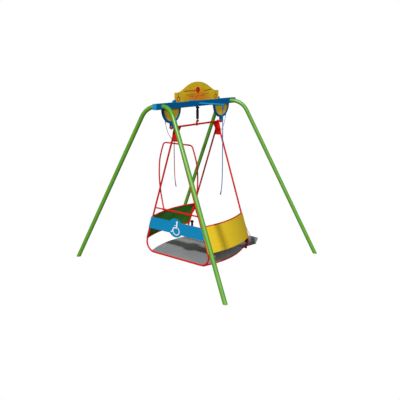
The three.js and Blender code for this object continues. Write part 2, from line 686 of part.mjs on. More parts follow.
/** Turns a level ramp or flap about the ramp's hinge to where it lies when lowered. */
function lowered(geometry) {
  geometry.translate(-RAMP_HINGE_X, 0, -RAMP_HINGE_Z).rotateY(radians(RAMP_DROP));
  return geometry.translate(RAMP_HINGE_X, 0, RAMP_HINGE_Z);
}

function rampHingeBar() {
  const centre = vec(RAMP_HINGE_X, 0, RAMP_HINGE_Z);
  const rod = bar('y', HINGE_ROD, -560, 560, centre, 12);
  const near = HOOP_X + HOOP_RADIUS - 2;
  const lugs = HINGE_LUGS.map((y) => join(
    bar('y', KNUCKLE_RADIUS + 1, y - LUG_HALF, y + LUG_HALF, centre, 14),
    block(RAMP_HINGE_X - near, 2 * LUG_HALF, 22, (RAMP_HINGE_X + near) / 2, y, RAMP_HINGE_Z),
  ));
  return cut(join(rod, ...lugs), hoopRoom[1]);
}

function rampPlate() {
  const plateStart = RAMP_HINGE_X + KNUCKLE_RADIUS - 3;
  const plateEnd = FLAP_HINGE_X - 14;
  const plate = block(plateEnd - plateStart, 2 * RAMP_HALF_WIDTH, RAMP_THICK,
    (plateStart + plateEnd) / 2, 0, RAMP_HINGE_Z);
  const hinge = vec(RAMP_HINGE_X, 0, RAMP_HINGE_Z);
  const knuckles = HINGE_LUGS.slice(1).map((y, i) => bar('y', KNUCKLE_RADIUS,
    HINGE_LUGS[i] + LUG_HALF + SEAT_GAP, y - LUG_HALF - SEAT_GAP, hinge, 14));
  const edge = vec(FLAP_HINGE_X, 0, RAMP_HINGE_Z);
  const edgeRod = bar('y', RAMP_EDGE_ROD, -RAMP_HALF_WIDTH, RAMP_HALF_WIDTH, edge, 12);
  const tabs = FLAP_TABS.map((y) => block(24, 2 * TAB_HALF, RAMP_THICK, FLAP_HINGE_X - 10, y, RAMP_HINGE_Z));
  const lugRoom = HINGE_LUGS.map((y) => bar('y', KNUCKLE_RADIUS + 2, y - LUG_HALF - SEAT_GAP,
    y + LUG_HALF + SEAT_GAP, hinge, 12));
  const rodRoom = bar('y', HINGE_ROD + SEAT_GAP, -RAMP_HALF_WIDTH - 5, RAMP_HALF_WIDTH + 5, hinge, 12);
  return lowered(toGeometry(cut(join(plate, ...knuckles, edgeRod, ...tabs), rodRoom, ...lugRoom)));
}

function rampFlap() {
  const knuckles = FLAP_TABS.slice(1).map((y, i) => bar('y', RAMP_EDGE_ROD + 4,
    FLAP_TABS[i] + TAB_HALF + SEAT_GAP, y - TAB_HALF - SEAT_GAP, vec(0, 0, 0), 12));
  const shape = new THREE.Shape();
  const corner = 40;
  const half = FLAP_TABS[3] - TAB_HALF - SEAT_GAP;
  shape.moveTo(10, -half);
  shape.lineTo(FLAP_LENGTH - corner, -half);
  shape.absarc(FLAP_LENGTH - corner, corner - half, corner, -Math.PI / 2, 0, false);
  shape.absarc(FLAP_LENGTH - corner, half - corner, corner, 0, Math.PI / 2, false);
  shape.lineTo(10, half);
  shape.closePath();
  const sheet = new THREE.ExtrudeGeometry(shape, { depth: RAMP_THICK, bevelEnabled: false, curveSegments: 3 });
  sheet.translate(0, 0, -RAMP_THICK / 2);
  const tabRoom = FLAP_TABS.slice(1, 3).map((y) => block(30, 2 * TAB_HALF + 1, 40, 3, y, 0));
  const rodRoom = bar('y', RAMP_EDGE_ROD + SEAT_GAP, -700, 700, vec(0, 0, 0), 12);
  const flap = toGeometry(cut(join(sheet, ...knuckles), rodRoom, ...tabRoom));
  return lowered(flap.rotateY(-radians(FLAP_ANGLE)).translate(FLAP_HINGE_X, 0, RAMP_HINGE_Z));
}

// ---- drop pins -------------------------------------------------------------------------------
const GUIDE_LOW = 146;
const GUIDE_HIGH = 178;
const GRIP_LOW = 226;
const GRIP_HIGH = 424;
const GRIP_RADIUS = 22.5;
const HEAD_RADIUS = 26;
const HEAD_LENGTH = 28;
const SKIRT_RADIUS = 17;          // bore of the grip's skirt, which drops over the guide
const SKIRT_TOP = 345;

function pinGuide(side) {
  const centre = vec(PIN_X, side * PIN_Y, 0);
  const web = block(PIN_X - HOOP_X, 12, GUIDE_HIGH - GUIDE_LOW, (PIN_X + HOOP_X) / 2, centre.y,
    (GUIDE_LOW + GUIDE_HIGH) / 2);
  const sleeve = bar('z', PIN_RADIUS + 6, GUIDE_LOW, GUIDE_HIGH, centre);
  const rodRoom = bar('z', PIN_RADIUS + GAP, GUIDE_LOW - 5, GUIDE_HIGH + 5, centre);
  return cut(join(web, sleeve), rodRoom, hoopRoom[1]);
}

function dropPin(side) {
  const profile = [
    [0, PIN_FOOT_Z], [PIN_FOOT_RADIUS - 3, PIN_FOOT_Z], [PIN_FOOT_RADIUS, PIN_FOOT_Z + 3],
    [PIN_FOOT_RADIUS, PIN_FOOT_Z + 30], [PIN_RADIUS, PIN_FOOT_Z + 36],
    [PIN_RADIUS, GRIP_HIGH - 20], [0, GRIP_HIGH - 20],
  ];
  return revolve(profile).translate(PIN_X, side * PIN_Y, 0);
}

/** The T handle. Its slotted skirt straddles the guide's web when the pin is down. */
function pinHandle(side) {
  const centre = vec(PIN_X, side * PIN_Y, GRIP_HIGH);
  const stem = bar('z', GRIP_RADIUS, GRIP_LOW, GRIP_HIGH, centre, 16);
  const grip = new THREE.CapsuleGeometry(HEAD_RADIUS, HEAD_LENGTH, 4, 12);
  grip.translate(centre.x, centre.y, GRIP_HIGH - HEAD_RADIUS + 2);
  const rodRoom = bar('z', PIN_RADIUS + GAP, GRIP_LOW - 5, GRIP_HIGH - 20 + GAP, centre);
  const skirt = bar('z', SKIRT_RADIUS, GRIP_LOW - 5, SKIRT_TOP, centre, 16);
  const slot = block(40, 15, 62, centre.x - 20, centre.y, GRIP_LOW + 26);
  return cut(join(stem, grip), rodRoom, skirt, slot);
}

// ---- cables ----------------------------------------------------------------------------------
// Slack cable from a bracket's lug to the outboard face of the hoop's apex plate (front end).
const SAFETY_CABLE = [
  [-880, 0, 2666.5], [-876, 0, 2620], [-858, 0, 2560], [-832, 0, 2500], [-797, 0, 2440], [-752, 0, 2388],
  [-700, 0, 2352], [-646, 0, 2340],
];
// Slack stay from the rear hoop to the outer corner of the ramp (left side).
const STAY_CABLE = [
  [651.5, -602, 776], [668, -607, 722], [700, -613, 640], [746, -618, 540], [796, -620, 452], [850, -621, 374],
  [907, -621, 301], [968, -621, 232], [1030, -620, 164], [1080, -618, 110], [1106, -615, 78],
];

function cable(points, mirrorX, mirrorY) {
  const ends = points.map(([x, y, z]) => vec(mirrorX * x, mirrorY * y, z));
  const curve = new THREE.CatmullRomCurve3(ends, false, 'centripetal');
  return pipe(new Route(curve.getSpacedPoints(22)), CABLE_RADIUS, 0, 8);
}

// ---- the assembly ----------------------------------------------------------------------------
green('leg_front_left', leg(-1, -1));
green('leg_front_right', leg(-1, 1));
green('leg_rear_left', leg(1, -1));
green('leg_rear_right', leg(1, 1));
blue('top_beam', topBeam());
mustard('sign_panel', signPanel());
blue('damper_top_lug', damperTopLug());
black('damper_top_bolt', damperBolt(DAMPER_TOP_Z, TOP_BOLT_RADIUS, 20, 19));
black('damper_cylinder', damperCylinder());
steel('damper_rod', damperRod());
red('axle', axle());
red('axle_lug', axleLug());
black('damper_lower_bolt', damperBolt(DAMPER_LOW_Z, LOW_BOLT_RADIUS, 18, 6));
red('crossbar', crossbar());
red('restraint_loop', restraintLoop());
blue('front_panel', frontPanel());
grey('floor_plate', floorPlate());
red('ramp_hinge_bar', rampHingeBar());
grey('ramp_plate', rampPlate());
grey('ramp_flap', rampFlap());

for (const [name, end] of ENDS) {
  blue(`beam_cap_${name}`, beamCap(end));
  blue(`bearing_bracket_${name}`, bearingBracket(end));
  mustard(`bracket_infill_${name}`, bracketInfill(end));
  steel(`bearing_bush_${name}`, bearingBush(end));
  blue(`sign_clip_${name}`, signClip(end));
  red(`hoop_${name}`, hoop(end));
  red(`apex_plate_${name}`, apexPlate(end));
  red(`floor_cross_member_${name}`, crossMember(end));
  steel(`safety_cable_${name}`, cable(SAFETY_CABLE, -end, 1));
}

for (const [name, side] of SIDES) {
  blue(`rope_arm_${name}`, ropeArm(side));
  steel(`rope_eye_${name}`, ropeEye(side));
  grey(`pull_rope_${name}`, pullRope(side));
  red(`top_rail_${name}`, rail(side, hoopHalf(TOP_RAIL_Z), RAIL_BOW, TOP_RAIL_Z, BAR_RADIUS));
  red(`middle_rail_${name}`, rail(side, hoopHalf(MID_RAIL_Z), RAIL_BOW, MID_RAIL_Z, BAR_RADIUS));
  red(`bottom_rail_${name}`, rail(side, BOTTOM_RAIL_Y, BOTTOM_RAIL_BOW, HOOP_BOTTOM, HOOP_RADIUS));
  mustard(`side_panel_${name}`, sidePanel(side));
  red(`pin_guide_${name}`, pinGuide(side));
  steel(`drop_pin_${name}`, dropPin(side));
  black(`pin_handle_${name}`, pinHandle(side));
  steel(`stay_cable_${name}`, cable(STAY_CABLE, 1, -side));
}

export default swing;
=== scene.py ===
import bpy
import bmesh
import math
import random
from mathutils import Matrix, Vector


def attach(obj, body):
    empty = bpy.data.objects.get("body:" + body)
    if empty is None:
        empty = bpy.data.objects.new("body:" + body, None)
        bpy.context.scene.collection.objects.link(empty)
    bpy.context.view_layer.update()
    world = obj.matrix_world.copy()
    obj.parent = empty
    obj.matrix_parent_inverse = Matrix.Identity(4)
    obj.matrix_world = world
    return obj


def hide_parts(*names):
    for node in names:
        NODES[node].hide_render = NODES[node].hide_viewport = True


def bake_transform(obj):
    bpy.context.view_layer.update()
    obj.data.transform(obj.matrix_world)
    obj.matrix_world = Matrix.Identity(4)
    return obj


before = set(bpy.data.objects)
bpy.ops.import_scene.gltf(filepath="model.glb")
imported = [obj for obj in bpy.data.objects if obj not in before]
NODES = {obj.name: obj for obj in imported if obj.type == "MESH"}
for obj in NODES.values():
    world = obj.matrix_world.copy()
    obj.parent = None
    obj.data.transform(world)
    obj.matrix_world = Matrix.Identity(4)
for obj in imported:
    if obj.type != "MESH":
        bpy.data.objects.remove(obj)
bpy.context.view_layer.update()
X, Y, Z = Vector((1, 0, 0)), Vector((0, 1, 0)), Vector((0, 0, 1))
ENDS = (-1, 1)       # front and rear, along X
SIDES = (-1, 1)      # left and right, along Y
FACES = (-1, 1)      # the two faces of a plate


# ---- places of the CAD's parts, in metres ----------------------------------------------------
def middle(name, axis):
    """The middle of a CAD node along one axis of the frame, to a tenth of a millimetre."""
    node = NODES[name]
    values = [(node.matrix_world @ vertex.co)[axis] for vertex in node.data.vertices]
    return round((min(values) + max(values)) / 2, 4)


BEAM_Z = middle("top_beam", 2)
AXLE_Z = middle("axle", 2)
BRACKET_X = middle("bearing_bush_rear", 0)
HOOP_X = middle("hoop_rear", 0)
CROSSBAR_Z = middle("crossbar", 2)
TOP_RAIL_Z = middle("top_rail_left", 2)
MIDDLE_RAIL_Z = middle("middle_rail_left", 2)
BOTTOM_RAIL_Z = middle("bottom_rail_left", 2)
ROPE_Y = middle("rope_eye_right", 1)
PIN_X = middle("drop_pin_right", 0)
PIN_Y = middle("drop_pin_right", 1)

HOOP_HALF_WIDTH = 0.523     # at the crossbar's height
HOOP_SLOPE = 0.3408         # how much wider per metre further down
RAIL_BOW = 0.109            # how far the side rails bulge at the middle
PANEL_INNER = 0.01886       # from the hoop's centre line out to a side panel's inner face
PANEL_THICK = 0.008
ARM_RADIUS = 0.01685
EYE_DROP = 0.026            # from the underside of an arm to the middle of the rope eye
EYE_RADIUS = 0.014
EYE_BAR = 0.004             # radius of the eye's bar
GAP = 0.0003
EYE_Z = BEAM_Z - ARM_RADIUS - EYE_DROP
ROPE_TOP = EYE_Z - EYE_RADIUS - EYE_BAR - GAP


def hoop_half(z):
    """Half the distance between the legs of a hoop at a height."""
    return HOOP_HALF_WIDTH + HOOP_SLOPE * (CROSSBAR_Z - z)


def bow(x):
    """The share of the side rails' bulge at a place along the gondola."""
    return 1 - (x / HOOP_X) ** 2


# ---- camera ----------------------------------------------------------------------------------
CAMERA_AT = (-8.007, -6.425, 3.698)
CAMERA_YAW = 0.8991         # radians from +Y towards +X
CAMERA_PITCH = 0.2471       # radians downwards
LENS, SENSOR = 49.67, 36    # millimetres
FAR_CLIP = 200


def make_camera():
    data = bpy.data.cameras.new("camera")
    data.lens, data.sensor_width = LENS, SENSOR
    data.clip_end = FAR_CLIP
    camera = bpy.data.objects.new("camera", data)
    bpy.context.scene.collection.objects.link(camera)
    camera.location = CAMERA_AT
    level = math.cos(CAMERA_PITCH)
    ahead = Vector((math.sin(CAMERA_YAW) * level, math.cos(CAMERA_YAW) * level, -math.sin(CAMERA_PITCH)))
    camera.rotation_euler = ahead.to_track_quat("-Z", "Y").to_euler()
    bpy.context.scene.camera = camera


make_camera()


# ---- materials -------------------------------------------------------------------------------
class Tree:
    """A material's node tree, with short calls to add and link nodes."""

    def __init__(self, name, roughness, metallic=0.0, specular=0.5):
        self.material = bpy.data.materials.new(name)
        self.material.use_nodes = True
        self.nodes = self.material.node_tree.nodes
        self.links = self.material.node_tree.links
        self.shader = self.nodes["Principled BSDF"]
        self.set("Roughness", roughness)
        self.set("Metallic", metallic)
        self.set("Specular IOR Level", specular)
        self.space = self.nodes.new("ShaderNodeTexCoord").outputs["Object"]

    def set(self, socket, value):
        self.shader.inputs[socket].default_value = value

    def add(self, kind, *wires, **settings):
        node = self.nodes.new("ShaderNode" + kind)
        for key, value in settings.items():
            if hasattr(node, key):
                setattr(node, key, value)
            else:
                node.inputs[key.replace("_", " ")].default_value = value
        for socket, source in wires:
            self.links.new(source, node.inputs[socket])
        return node

    def noise(self, scale, detail=3.0, space=None):
        wire = ("Vector", space or self.space)
        return self.add("TexNoise", wire, Scale=scale, Detail=detail, Roughness=0.55).outputs["Fac"]

    def split(self, source):
        return self.add("SeparateXYZ", ("Vector", source)).outputs

    def calculate(self, operation, *terms):
        """A Math node. Each term is a socket or a number."""
        node = self.add("Math", operation=operation)
        for socket, term in zip(node.inputs, terms):
            if isinstance(term, float):
                socket.default_value = term
            else:
                self.links.new(term, socket)
        return node.outputs[0]

    def ramp(self, source, low, high, first=(0, 0, 0, 1), last=(1, 1, 1, 1)):
        node = self.add("ValToRGB", ("Fac", source))
        ends = node.color_ramp.elements
        ends[0].position, ends[1].position = low, high
        ends[0].color, ends[1].color = first, last
        return node.outputs["Color"]

    def blend(self, factor, a, b):
        """From a to b as the factor goes from 0 to 1. Each is a socket or a colour."""
        node = self.nodes.new("ShaderNodeMix")
        node.data_type = "RGBA"
        for index, value in ((6, a), (7, b)):
            if isinstance(value, tuple):
                node.inputs[index].default_value = value
            else:
                self.links.new(value, node.inputs[index])
        self.links.new(factor, node.inputs[0])
        return node.outputs[2]

    def bump(self, height, strength, distance):
        node = self.add("Bump", ("Height", height), Strength=strength, Distance=distance)
        self.links.new(node.outputs["Normal"], self.shader.inputs["Normal"])

    def base(self, source):
        self.links.new(source, self.shader.inputs["Base Color"])

    def rough(self, source, low, high):
        node = self.add("MapRange", ("Value", source), To_Min=low, To_Max=high)
        self.links.new(node.outputs["Result"], self.shader.inputs["Roughness"])


def rgb(code):
    """A linear colour from an sRGB hex code."""
    parts = [int(code[i:i + 2], 16) / 255 for i in (0, 2, 4)]
    return tuple(c / 12.92 if c <= 0.04045 else ((c + 0.055) / 1.055) ** 2.4 for c in parts) + (1,)


def shade(colour, factor):
    return tuple(min(1, c * factor) for c in colour[:3]) + (1,)


def paint(name, code, roughness, specular, coat=0.0):
    """Powder coat: fine orange peel, faint cloudiness and a few small chips."""
    t = Tree(name, roughness, specular=specular)
    t.set("Coat Weight", coat)
    t.set("Coat Roughness", 0.3)
    colour = rgb(code)
    cloud = t.ramp(t.noise(3.5), 0.3, 0.75)
    tone = t.blend(cloud, shade(colour, 0.9), shade(colour, 1.06))
    chips = t.ramp(t.noise(75, 5), 0.76, 0.775)
    t.base(t.blend(chips, tone, rgb("8a8d90")))
    t.rough(t.noise(6), roughness * 0.88, roughness * 1.18)
    t.bump(t.noise(420, 2), 0.08, 0.0004)
    return t.material


def board(name, code, dark, light, grain=26.0):
    """Solid coloured board: mottled tone with a fine pebbled grain."""
    t = Tree(name, 0.5, specular=0.3)
    colour = rgb(code)
    patch = t.ramp(t.noise(5, 4), 0.3, 0.7)
    tone = t.blend(patch, shade(colour, dark), shade(colour, light))
    fleck = t.ramp(t.noise(grain, 5), 0.3, 0.6)
    t.base(t.blend(fleck, shade(colour, dark * 0.97), tone))
    t.rough(t.noise(14), 0.425, 0.6)
    t.bump(t.noise(700, 2), 0.2, 0.0005)
    return t.material


def foliage(name, code):
    """Board printed with a dim leafy mottling."""
    t = Tree(name, 0.55, specular=0.2)
    colour = rgb(code)
    cells = t.add("TexVoronoi", ("Vector", t.space), Scale=11.0, Randomness=1.0).outputs["Distance"]
    leaf = t.ramp(cells, 0.15, 0.85)
    tone = t.blend(leaf, shade(colour, 1.12), shade(colour, 0.86))
    cloud = t.ramp(t.noise(2.2, 3), 0.36, 0.64)
    t.base(t.blend(cloud, shade(colour, 0.62), tone))
    t.bump(t.noise(700, 2), 0.2, 0.0005)
    return t.material


def metal(name, code, roughness):
    """Bare or plated metal with faint streaks and dulled patches."""
    t = Tree(name, roughness, metallic=1.0)
    colour = rgb(code)
    dull = t.ramp(t.noise(18, 5), 0.35, 0.7)
    t.base(t.blend(dull, shade(colour, 0.72), shade(colour, 1.05)))
    stretched = t.add("Mapping", ("Vector", t.space), Scale=(30, 30, 400)).outputs[0]
    t.rough(t.noise(1.0, 3, stretched), roughness * 0.7, roughness * 1.5)
    t.bump(t.noise(1.2, 3, stretched), 0.08, 0.0004)
    return t.material


def two_part(name, height, above, below):
    """Dull metal above a height and black coating or rubber below it."""
    t = Tree(name, 0.35)
    half_step = 0.0004
    level = t.split(t.space)["Z"]
    rise = t.add("MapRange", ("Value", level), From_Min=height - half_step, From_Max=height + half_step)
    step = t.ramp(rise.outputs["Result"], 0.0, 1.0)
    dull = t.ramp(t.noise(18, 5), 0.35, 0.7)
    bright = t.blend(dull, shade(rgb(above), 0.75), shade(rgb(above), 1.05))
    dark = t.blend(dull, shade(rgb(below), 0.8), shade(rgb(below), 1.3))
    t.base(t.blend(step, dark, bright))
    t.links.new(step, t.shader.inputs["Metallic"])
    t.rough(t.noise(9), 0.3, 0.5)
    t.bump(t.noise(600, 2), 0.12, 0.0004)
    return t.material


def plastic(name, code, roughness, grain=900.0):
    """Moulded plastic or rubber with a fine texture."""
    t = Tree(name, roughness, specular=0.25)
    colour = rgb(code)
    t.base(t.blend(t.ramp(t.noise(25, 4), 0.35, 0.7), shade(colour, 0.8), shade(colour, 1.25)))
    t.rough(t.noise(40), roughness * 0.8, roughness * 1.2)
    t.bump(t.noise(grain, 2), 0.25, 0.0004)
    return t.material


TREAD_PITCH = 0.034         # one group of bars on the tread plate
TREAD_BANDS = 1.249366      # scale of the wave for about four bars to a group


def chequer(name, code):
    """Aluminium tread plate: groups of raised bars, turned a quarter from one group to the next."""
    t = Tree(name, 0.5, metallic=0.2)
    colour = rgb(code)
    cell = 1 / TREAD_PITCH
    groups = t.add("TexChecker", ("Vector", t.space), Scale=cell,
                   Color1=(1, 1, 1, 1), Color2=(0, 0, 0, 1)).outputs["Fac"]
    bars = []
    for axis in ("X", "Y"):
        wave = t.add("TexWave", ("Vector", t.space), bands_direction=axis, Scale=cell * TREAD_BANDS)
        bars.append(t.ramp(wave.outputs["Fac"], 0.55, 0.8))
    bar_relief_and_painted_highlight = t.blend(groups, *bars)
    cloud = t.ramp(t.noise(4, 5), 0.3, 0.75)
    tone = t.blend(cloud, shade(colour, 0.86), shade(colour, 1.08))
    # Painted highlight: the raised bars are coloured lighter than the plate around them.
    t.base(t.blend(bar_relief_and_painted_highlight, tone, shade(colour, 1.1)))
    t.rough(t.noise(12), 0.4, 0.625)
    t.bump(bar_relief_and_painted_highlight, 0.35, 0.0012)
    return t.material


def strand(name, code, dark, metallic=0.0, roughness=0.75):
    """Laid rope or wire: a painted highlight on the strands' crowns, painted shade in the valleys between
    them, and fine fibres.
    """
    t = Tree(name, roughness, metallic=metallic)
    colour = rgb(code)
    # Painted shading: the curvature mask colours the strands' crowns lighter and the valleys between them
    # darker.
    painted_crown_and_crease_shade = t.ramp(t.add("NewGeometry").outputs["Pointiness"], 0.42, 0.54)
    tone = t.blend(painted_crown_and_crease_shade, shade(colour, dark), shade(colour, 1.1))
    t.base(t.blend(t.ramp(t.noise(90, 4), 0.4, 0.62), shade(colour, 0.8), tone))
    t.bump(t.noise(1500, 2), 0.35, 0.0005)
    return t.material


def film(name, code):
    """Printed film on a board."""
    t = Tree(name, 0.5)
    colour = rgb(code)
    t.base(t.blend(t.ramp(t.noise(30, 4), 0.35, 0.65), shade(colour, 0.86), shade(colour, 1.06)))
    t.bump(t.noise(500, 2), 0.1, 0.0003)
    return t.material


GLOW_Z = 2.995              # height of the glow's middle, at the foot of the sign
GLOW_FALL_WIDE = 5.0        # how fast the glow fades along the sign and up it
GLOW_FALL_HIGH = 18.0


def sign_board(name):
    """Mustard board with an orange glow low in the middle and an orange cut edge."""
    t = Tree(name, 0.5)
    mustard, orange, cut_edge = rgb("ffd81c"), rgb("ff960c"), rgb("f59a18")
    spot = t.split(t.space)
    wide = t.calculate("MULTIPLY", spot["X"], spot["X"])
    up = t.calculate("SUBTRACT", spot["Z"], GLOW_Z)
    high = t.calculate("MULTIPLY", up, up)
    reach = t.calculate("ADD", t.calculate("MULTIPLY", wide, GLOW_FALL_WIDE),
                        t.calculate("MULTIPLY", high, GLOW_FALL_HIGH))
    glow = t.ramp(reach, 0.1, 1.15, (1, 1, 1, 1), (0, 0, 0, 1))
    tone = t.blend(t.ramp(t.noise(9, 5), 0.35, 0.68), shade(mustard, 0.88), shade(mustard, 1.04))
    lit = t.blend(glow, tone, orange)
    facing = t.split(t.add("NewGeometry").outputs["True Normal"])["Y"]
    flat = t.ramp(t.calculate("ABSOLUTE", facing), 0.5, 0.8)
    t.base(t.blend(flat, cut_edge, lit))
    t.rough(t.noise(14), 0.42, 0.6)
    t.bump(t.noise(700, 2), 0.2, 0.0005)
    return t.material


GREEN = paint("paint_green", "60a425", 0.4, 0.5, coat=0.5)
RED = paint("paint_red", "da130d", 0.42, 0.25)
NAVY = paint("paint_blue", "006cab", 0.45, 0.12)
SKY = paint("paint_light_blue", "008fcb", 0.45, 0.12)
PANEL_BLUE = board("board_blue", "0a8cc1", 0.95, 1.04)
YELLOW = board("board_yellow", "f2ce28", 0.97, 1.02)
FOREST = foliage("board_green", "3f9a30")
MUSTARD = board("board_mustard", "ffcf22", 0.95, 1.02, 16.0)
SIGN = sign_board("board_sign")
CAP = plastic("plastic_light_blue", "2090ca", 0.5)
BLACK = plastic("plastic_black", "060607", 0.55)
BLACK_STEEL = plastic("coat_black", "020203", 0.6, 400.0)
ZINC = metal("zinc", "a4a8ab", 0.4)
STEEL = metal("steel_bar", "5d5f62", 0.5)
ROD = two_part("damper_rod_and_eye", 2.6415, "b9bdc0", "050506")
PIN = two_part("pin_and_foot", 0.1405, "b9bdc0", "060607")
BRASS = metal("bush_bronze", "c49a52", 0.35)
WIRE = strand("wire_rope", "4a4e52", 0.5, 0.2, 0.6)
ROPE_BLUE = strand("rope_blue", "2c66a6", 0.7)
ROPE_RED = strand("rope_red", "a81a2a", 0.7)
TIP = plastic("shrink_sleeve", "3a4046", 0.55)
FLOOR_PLATE = chequer("tread_floor", "a2a6a9")
RAMP_PLATE = chequer("tread_ramp", "7e8082")
WHITE = film("film_white", "ffffff")
FILM_RED = film("film_red", "e80a14")
FILM_RUST = film("film_rust", "d85a14")
FILM_PINK = film("film_pink", "f0604a")
FILM_OCHRE = film("film_ochre", "c08a1c")

# Each look, and how its nodes' names start. The last look takes all the others.
LOOKS = [
    (GREEN, ["leg_"]),
    (NAVY, ["top_beam", "bearing_bracket", "sign_clip", "damper_top_lug", "rope_eye"]),
    (CAP, ["beam_cap"]),
    (SKY, ["rope_arm"]),
    (PANEL_BLUE, ["front_panel"]),
    (SIGN, ["sign_panel"]),
    (MUSTARD, ["bracket_infill"]),
    (YELLOW, ["side_panel_left"]),
    (FOREST, ["side_panel_right"]),
    (BRASS, ["bearing_bush"]),
    (BLACK_STEEL, ["damper_cylinder", "damper_top_bolt", "damper_lower_bolt"]),
    (ROD, ["damper_rod"]),
    (PIN, ["drop_pin"]),
    (BLACK, ["pin_handle"]),
    (STEEL, ["ramp_hinge_bar"]),
    (FLOOR_PLATE, ["floor_plate"]),
    (RAMP_PLATE, ["ramp_plate", "ramp_flap"]),
    (WIRE, ["safety_cable", "stay_cable"]),
    (ROPE_BLUE, ["pull_rope_left"]),
    (ROPE_RED, ["pull_rope_right"]),
    (RED, [""]),
]


def look_of(name):
    return next(look for look, starts in LOOKS if name.startswith(tuple(starts)))


# ---- finish of the CAD's nodes ---------------------------------------------------------------
SHARP = math.radians(38)          # an edge that turns further stays sharp
WELD_DISTANCE = 0.00002
PLATES = ("apex_plate", "bearing_bracket", "bracket_infill", "floor_plate", "front_panel", "ramp_flap",
          "ramp_plate", "side_panel", "sign_clip", "sign_panel", "top_beam")
PLATE_BEVEL = 0.0008
PLATE_BEVEL_ANGLE = math.radians(50)


def smoothing_group():
    """Rounds the shading of curved walls and keeps real edges sharp."""
    group = bpy.data.node_groups.new("smooth_curves", "GeometryNodeTree")
    group.interface.new_socket("Geometry", in_out="INPUT", socket_type="NodeSocketGeometry")
    group.interface.new_socket("Geometry", in_out="OUTPUT", socket_type="NodeSocketGeometry")
    add, link = group.nodes.new, group.links.new
    start, end = add("NodeGroupInput"), add("NodeGroupOutput")
    plain = add("GeometryNodeRemoveAttribute")
    plain.inputs["Name"].default_value = "custom_normal"
    weld = add("GeometryNodeMergeByDistance")
    weld.inputs["Distance"].default_value = WELD_DISTANCE
    smooth = add("GeometryNodeSetShadeSmooth")
    sharp = add("GeometryNodeSetShadeSmooth")
    sharp.domain = "EDGE"
    sharp.inputs["Shade Smooth"].default_value = False
    angle = add("GeometryNodeInputMeshEdgeAngle")
    steep = add("FunctionNodeCompare")
    steep.operation = "GREATER_THAN"
    steep.inputs[1].default_value = SHARP
    link(start.outputs[0], plain.inputs["Geometry"])
    link(plain.outputs[0], weld.inputs["Geometry"])
    link(weld.outputs[0], smooth.inputs["Geometry"])
    link(smooth.outputs[0], sharp.inputs["Geometry"])
    link(angle.outputs["Unsigned Angle"], steep.inputs[0])
    link(steep.outputs[0], sharp.inputs["Selection"])
    link(sharp.outputs[0], end.inputs[0])
    return group


def add_bevel(thing, width):
    edge = thing.modifiers.new("edge", "BEVEL")
    edge.width, edge.segments, edge.limit_method = width, 2, "ANGLE"
    return edge


def finish_nodes():
    smooth = smoothing_group()
    for name, node in NODES.items():
        node.data.materials.clear()
        node.data.materials.append(look_of(name))
        node.modifiers.new("smooth", "NODES").node_group = smooth
        if name.startswith(PLATES):
            add_bevel(node, PLATE_BEVEL).angle_limit = PLATE_BEVEL_ANGLE


finish_nodes()


# ---- mesh helpers ----------------------------------------------------------------------------
def show(name, mesh, look):
    mesh.materials.append(look)
    piece = bpy.data.objects.new(name, mesh)
    bpy.context.scene.collection.objects.link(piece)
    return piece


def add_piece(name, verts, faces, look, body=None, smooth=True, bevel=0.0):
    mesh = bpy.data.meshes.new(name)
    mesh.from_pydata([tuple(v) for v in verts], [], faces)
    mesh.validate()
    shape = bmesh.new()
    shape.from_mesh(mesh)
    bmesh.ops.recalc_face_normals(shape, faces=shape.faces)
    shape.to_mesh(mesh)
    shape.free()
    piece = show(name, mesh, look)
    if bevel:
        add_bevel(piece, bevel)
    if smooth:
        mesh.shade_smooth()
        mesh.set_sharp_from_angle(angle=SHARP)
    if body:
        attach(piece, body)
    return piece


def ring_walls(rings, sides, closed=False):
    """Quads between rings of points, and an end face on the first and last ring unless closed."""
    faces = []
    for i in range(rings if closed else rings - 1):
        j = (i + 1) % rings
        for k in range(sides):
            n = (k + 1) % sides
            faces.append([i * sides + k, i * sides + n, j * sides + n, j * sides + k])
    if not closed:
        faces.append(list(range(sides))[::-1])
        faces.append([(rings - 1) * sides + k for k in range(sides)])
    return faces


def frame_round(axis):
    """The unit vector along axis and two unit vectors square to it."""
    axis = Vector(axis).normalized()
    side = axis.orthogonal().normalized()
    return axis, side, axis.cross(side)


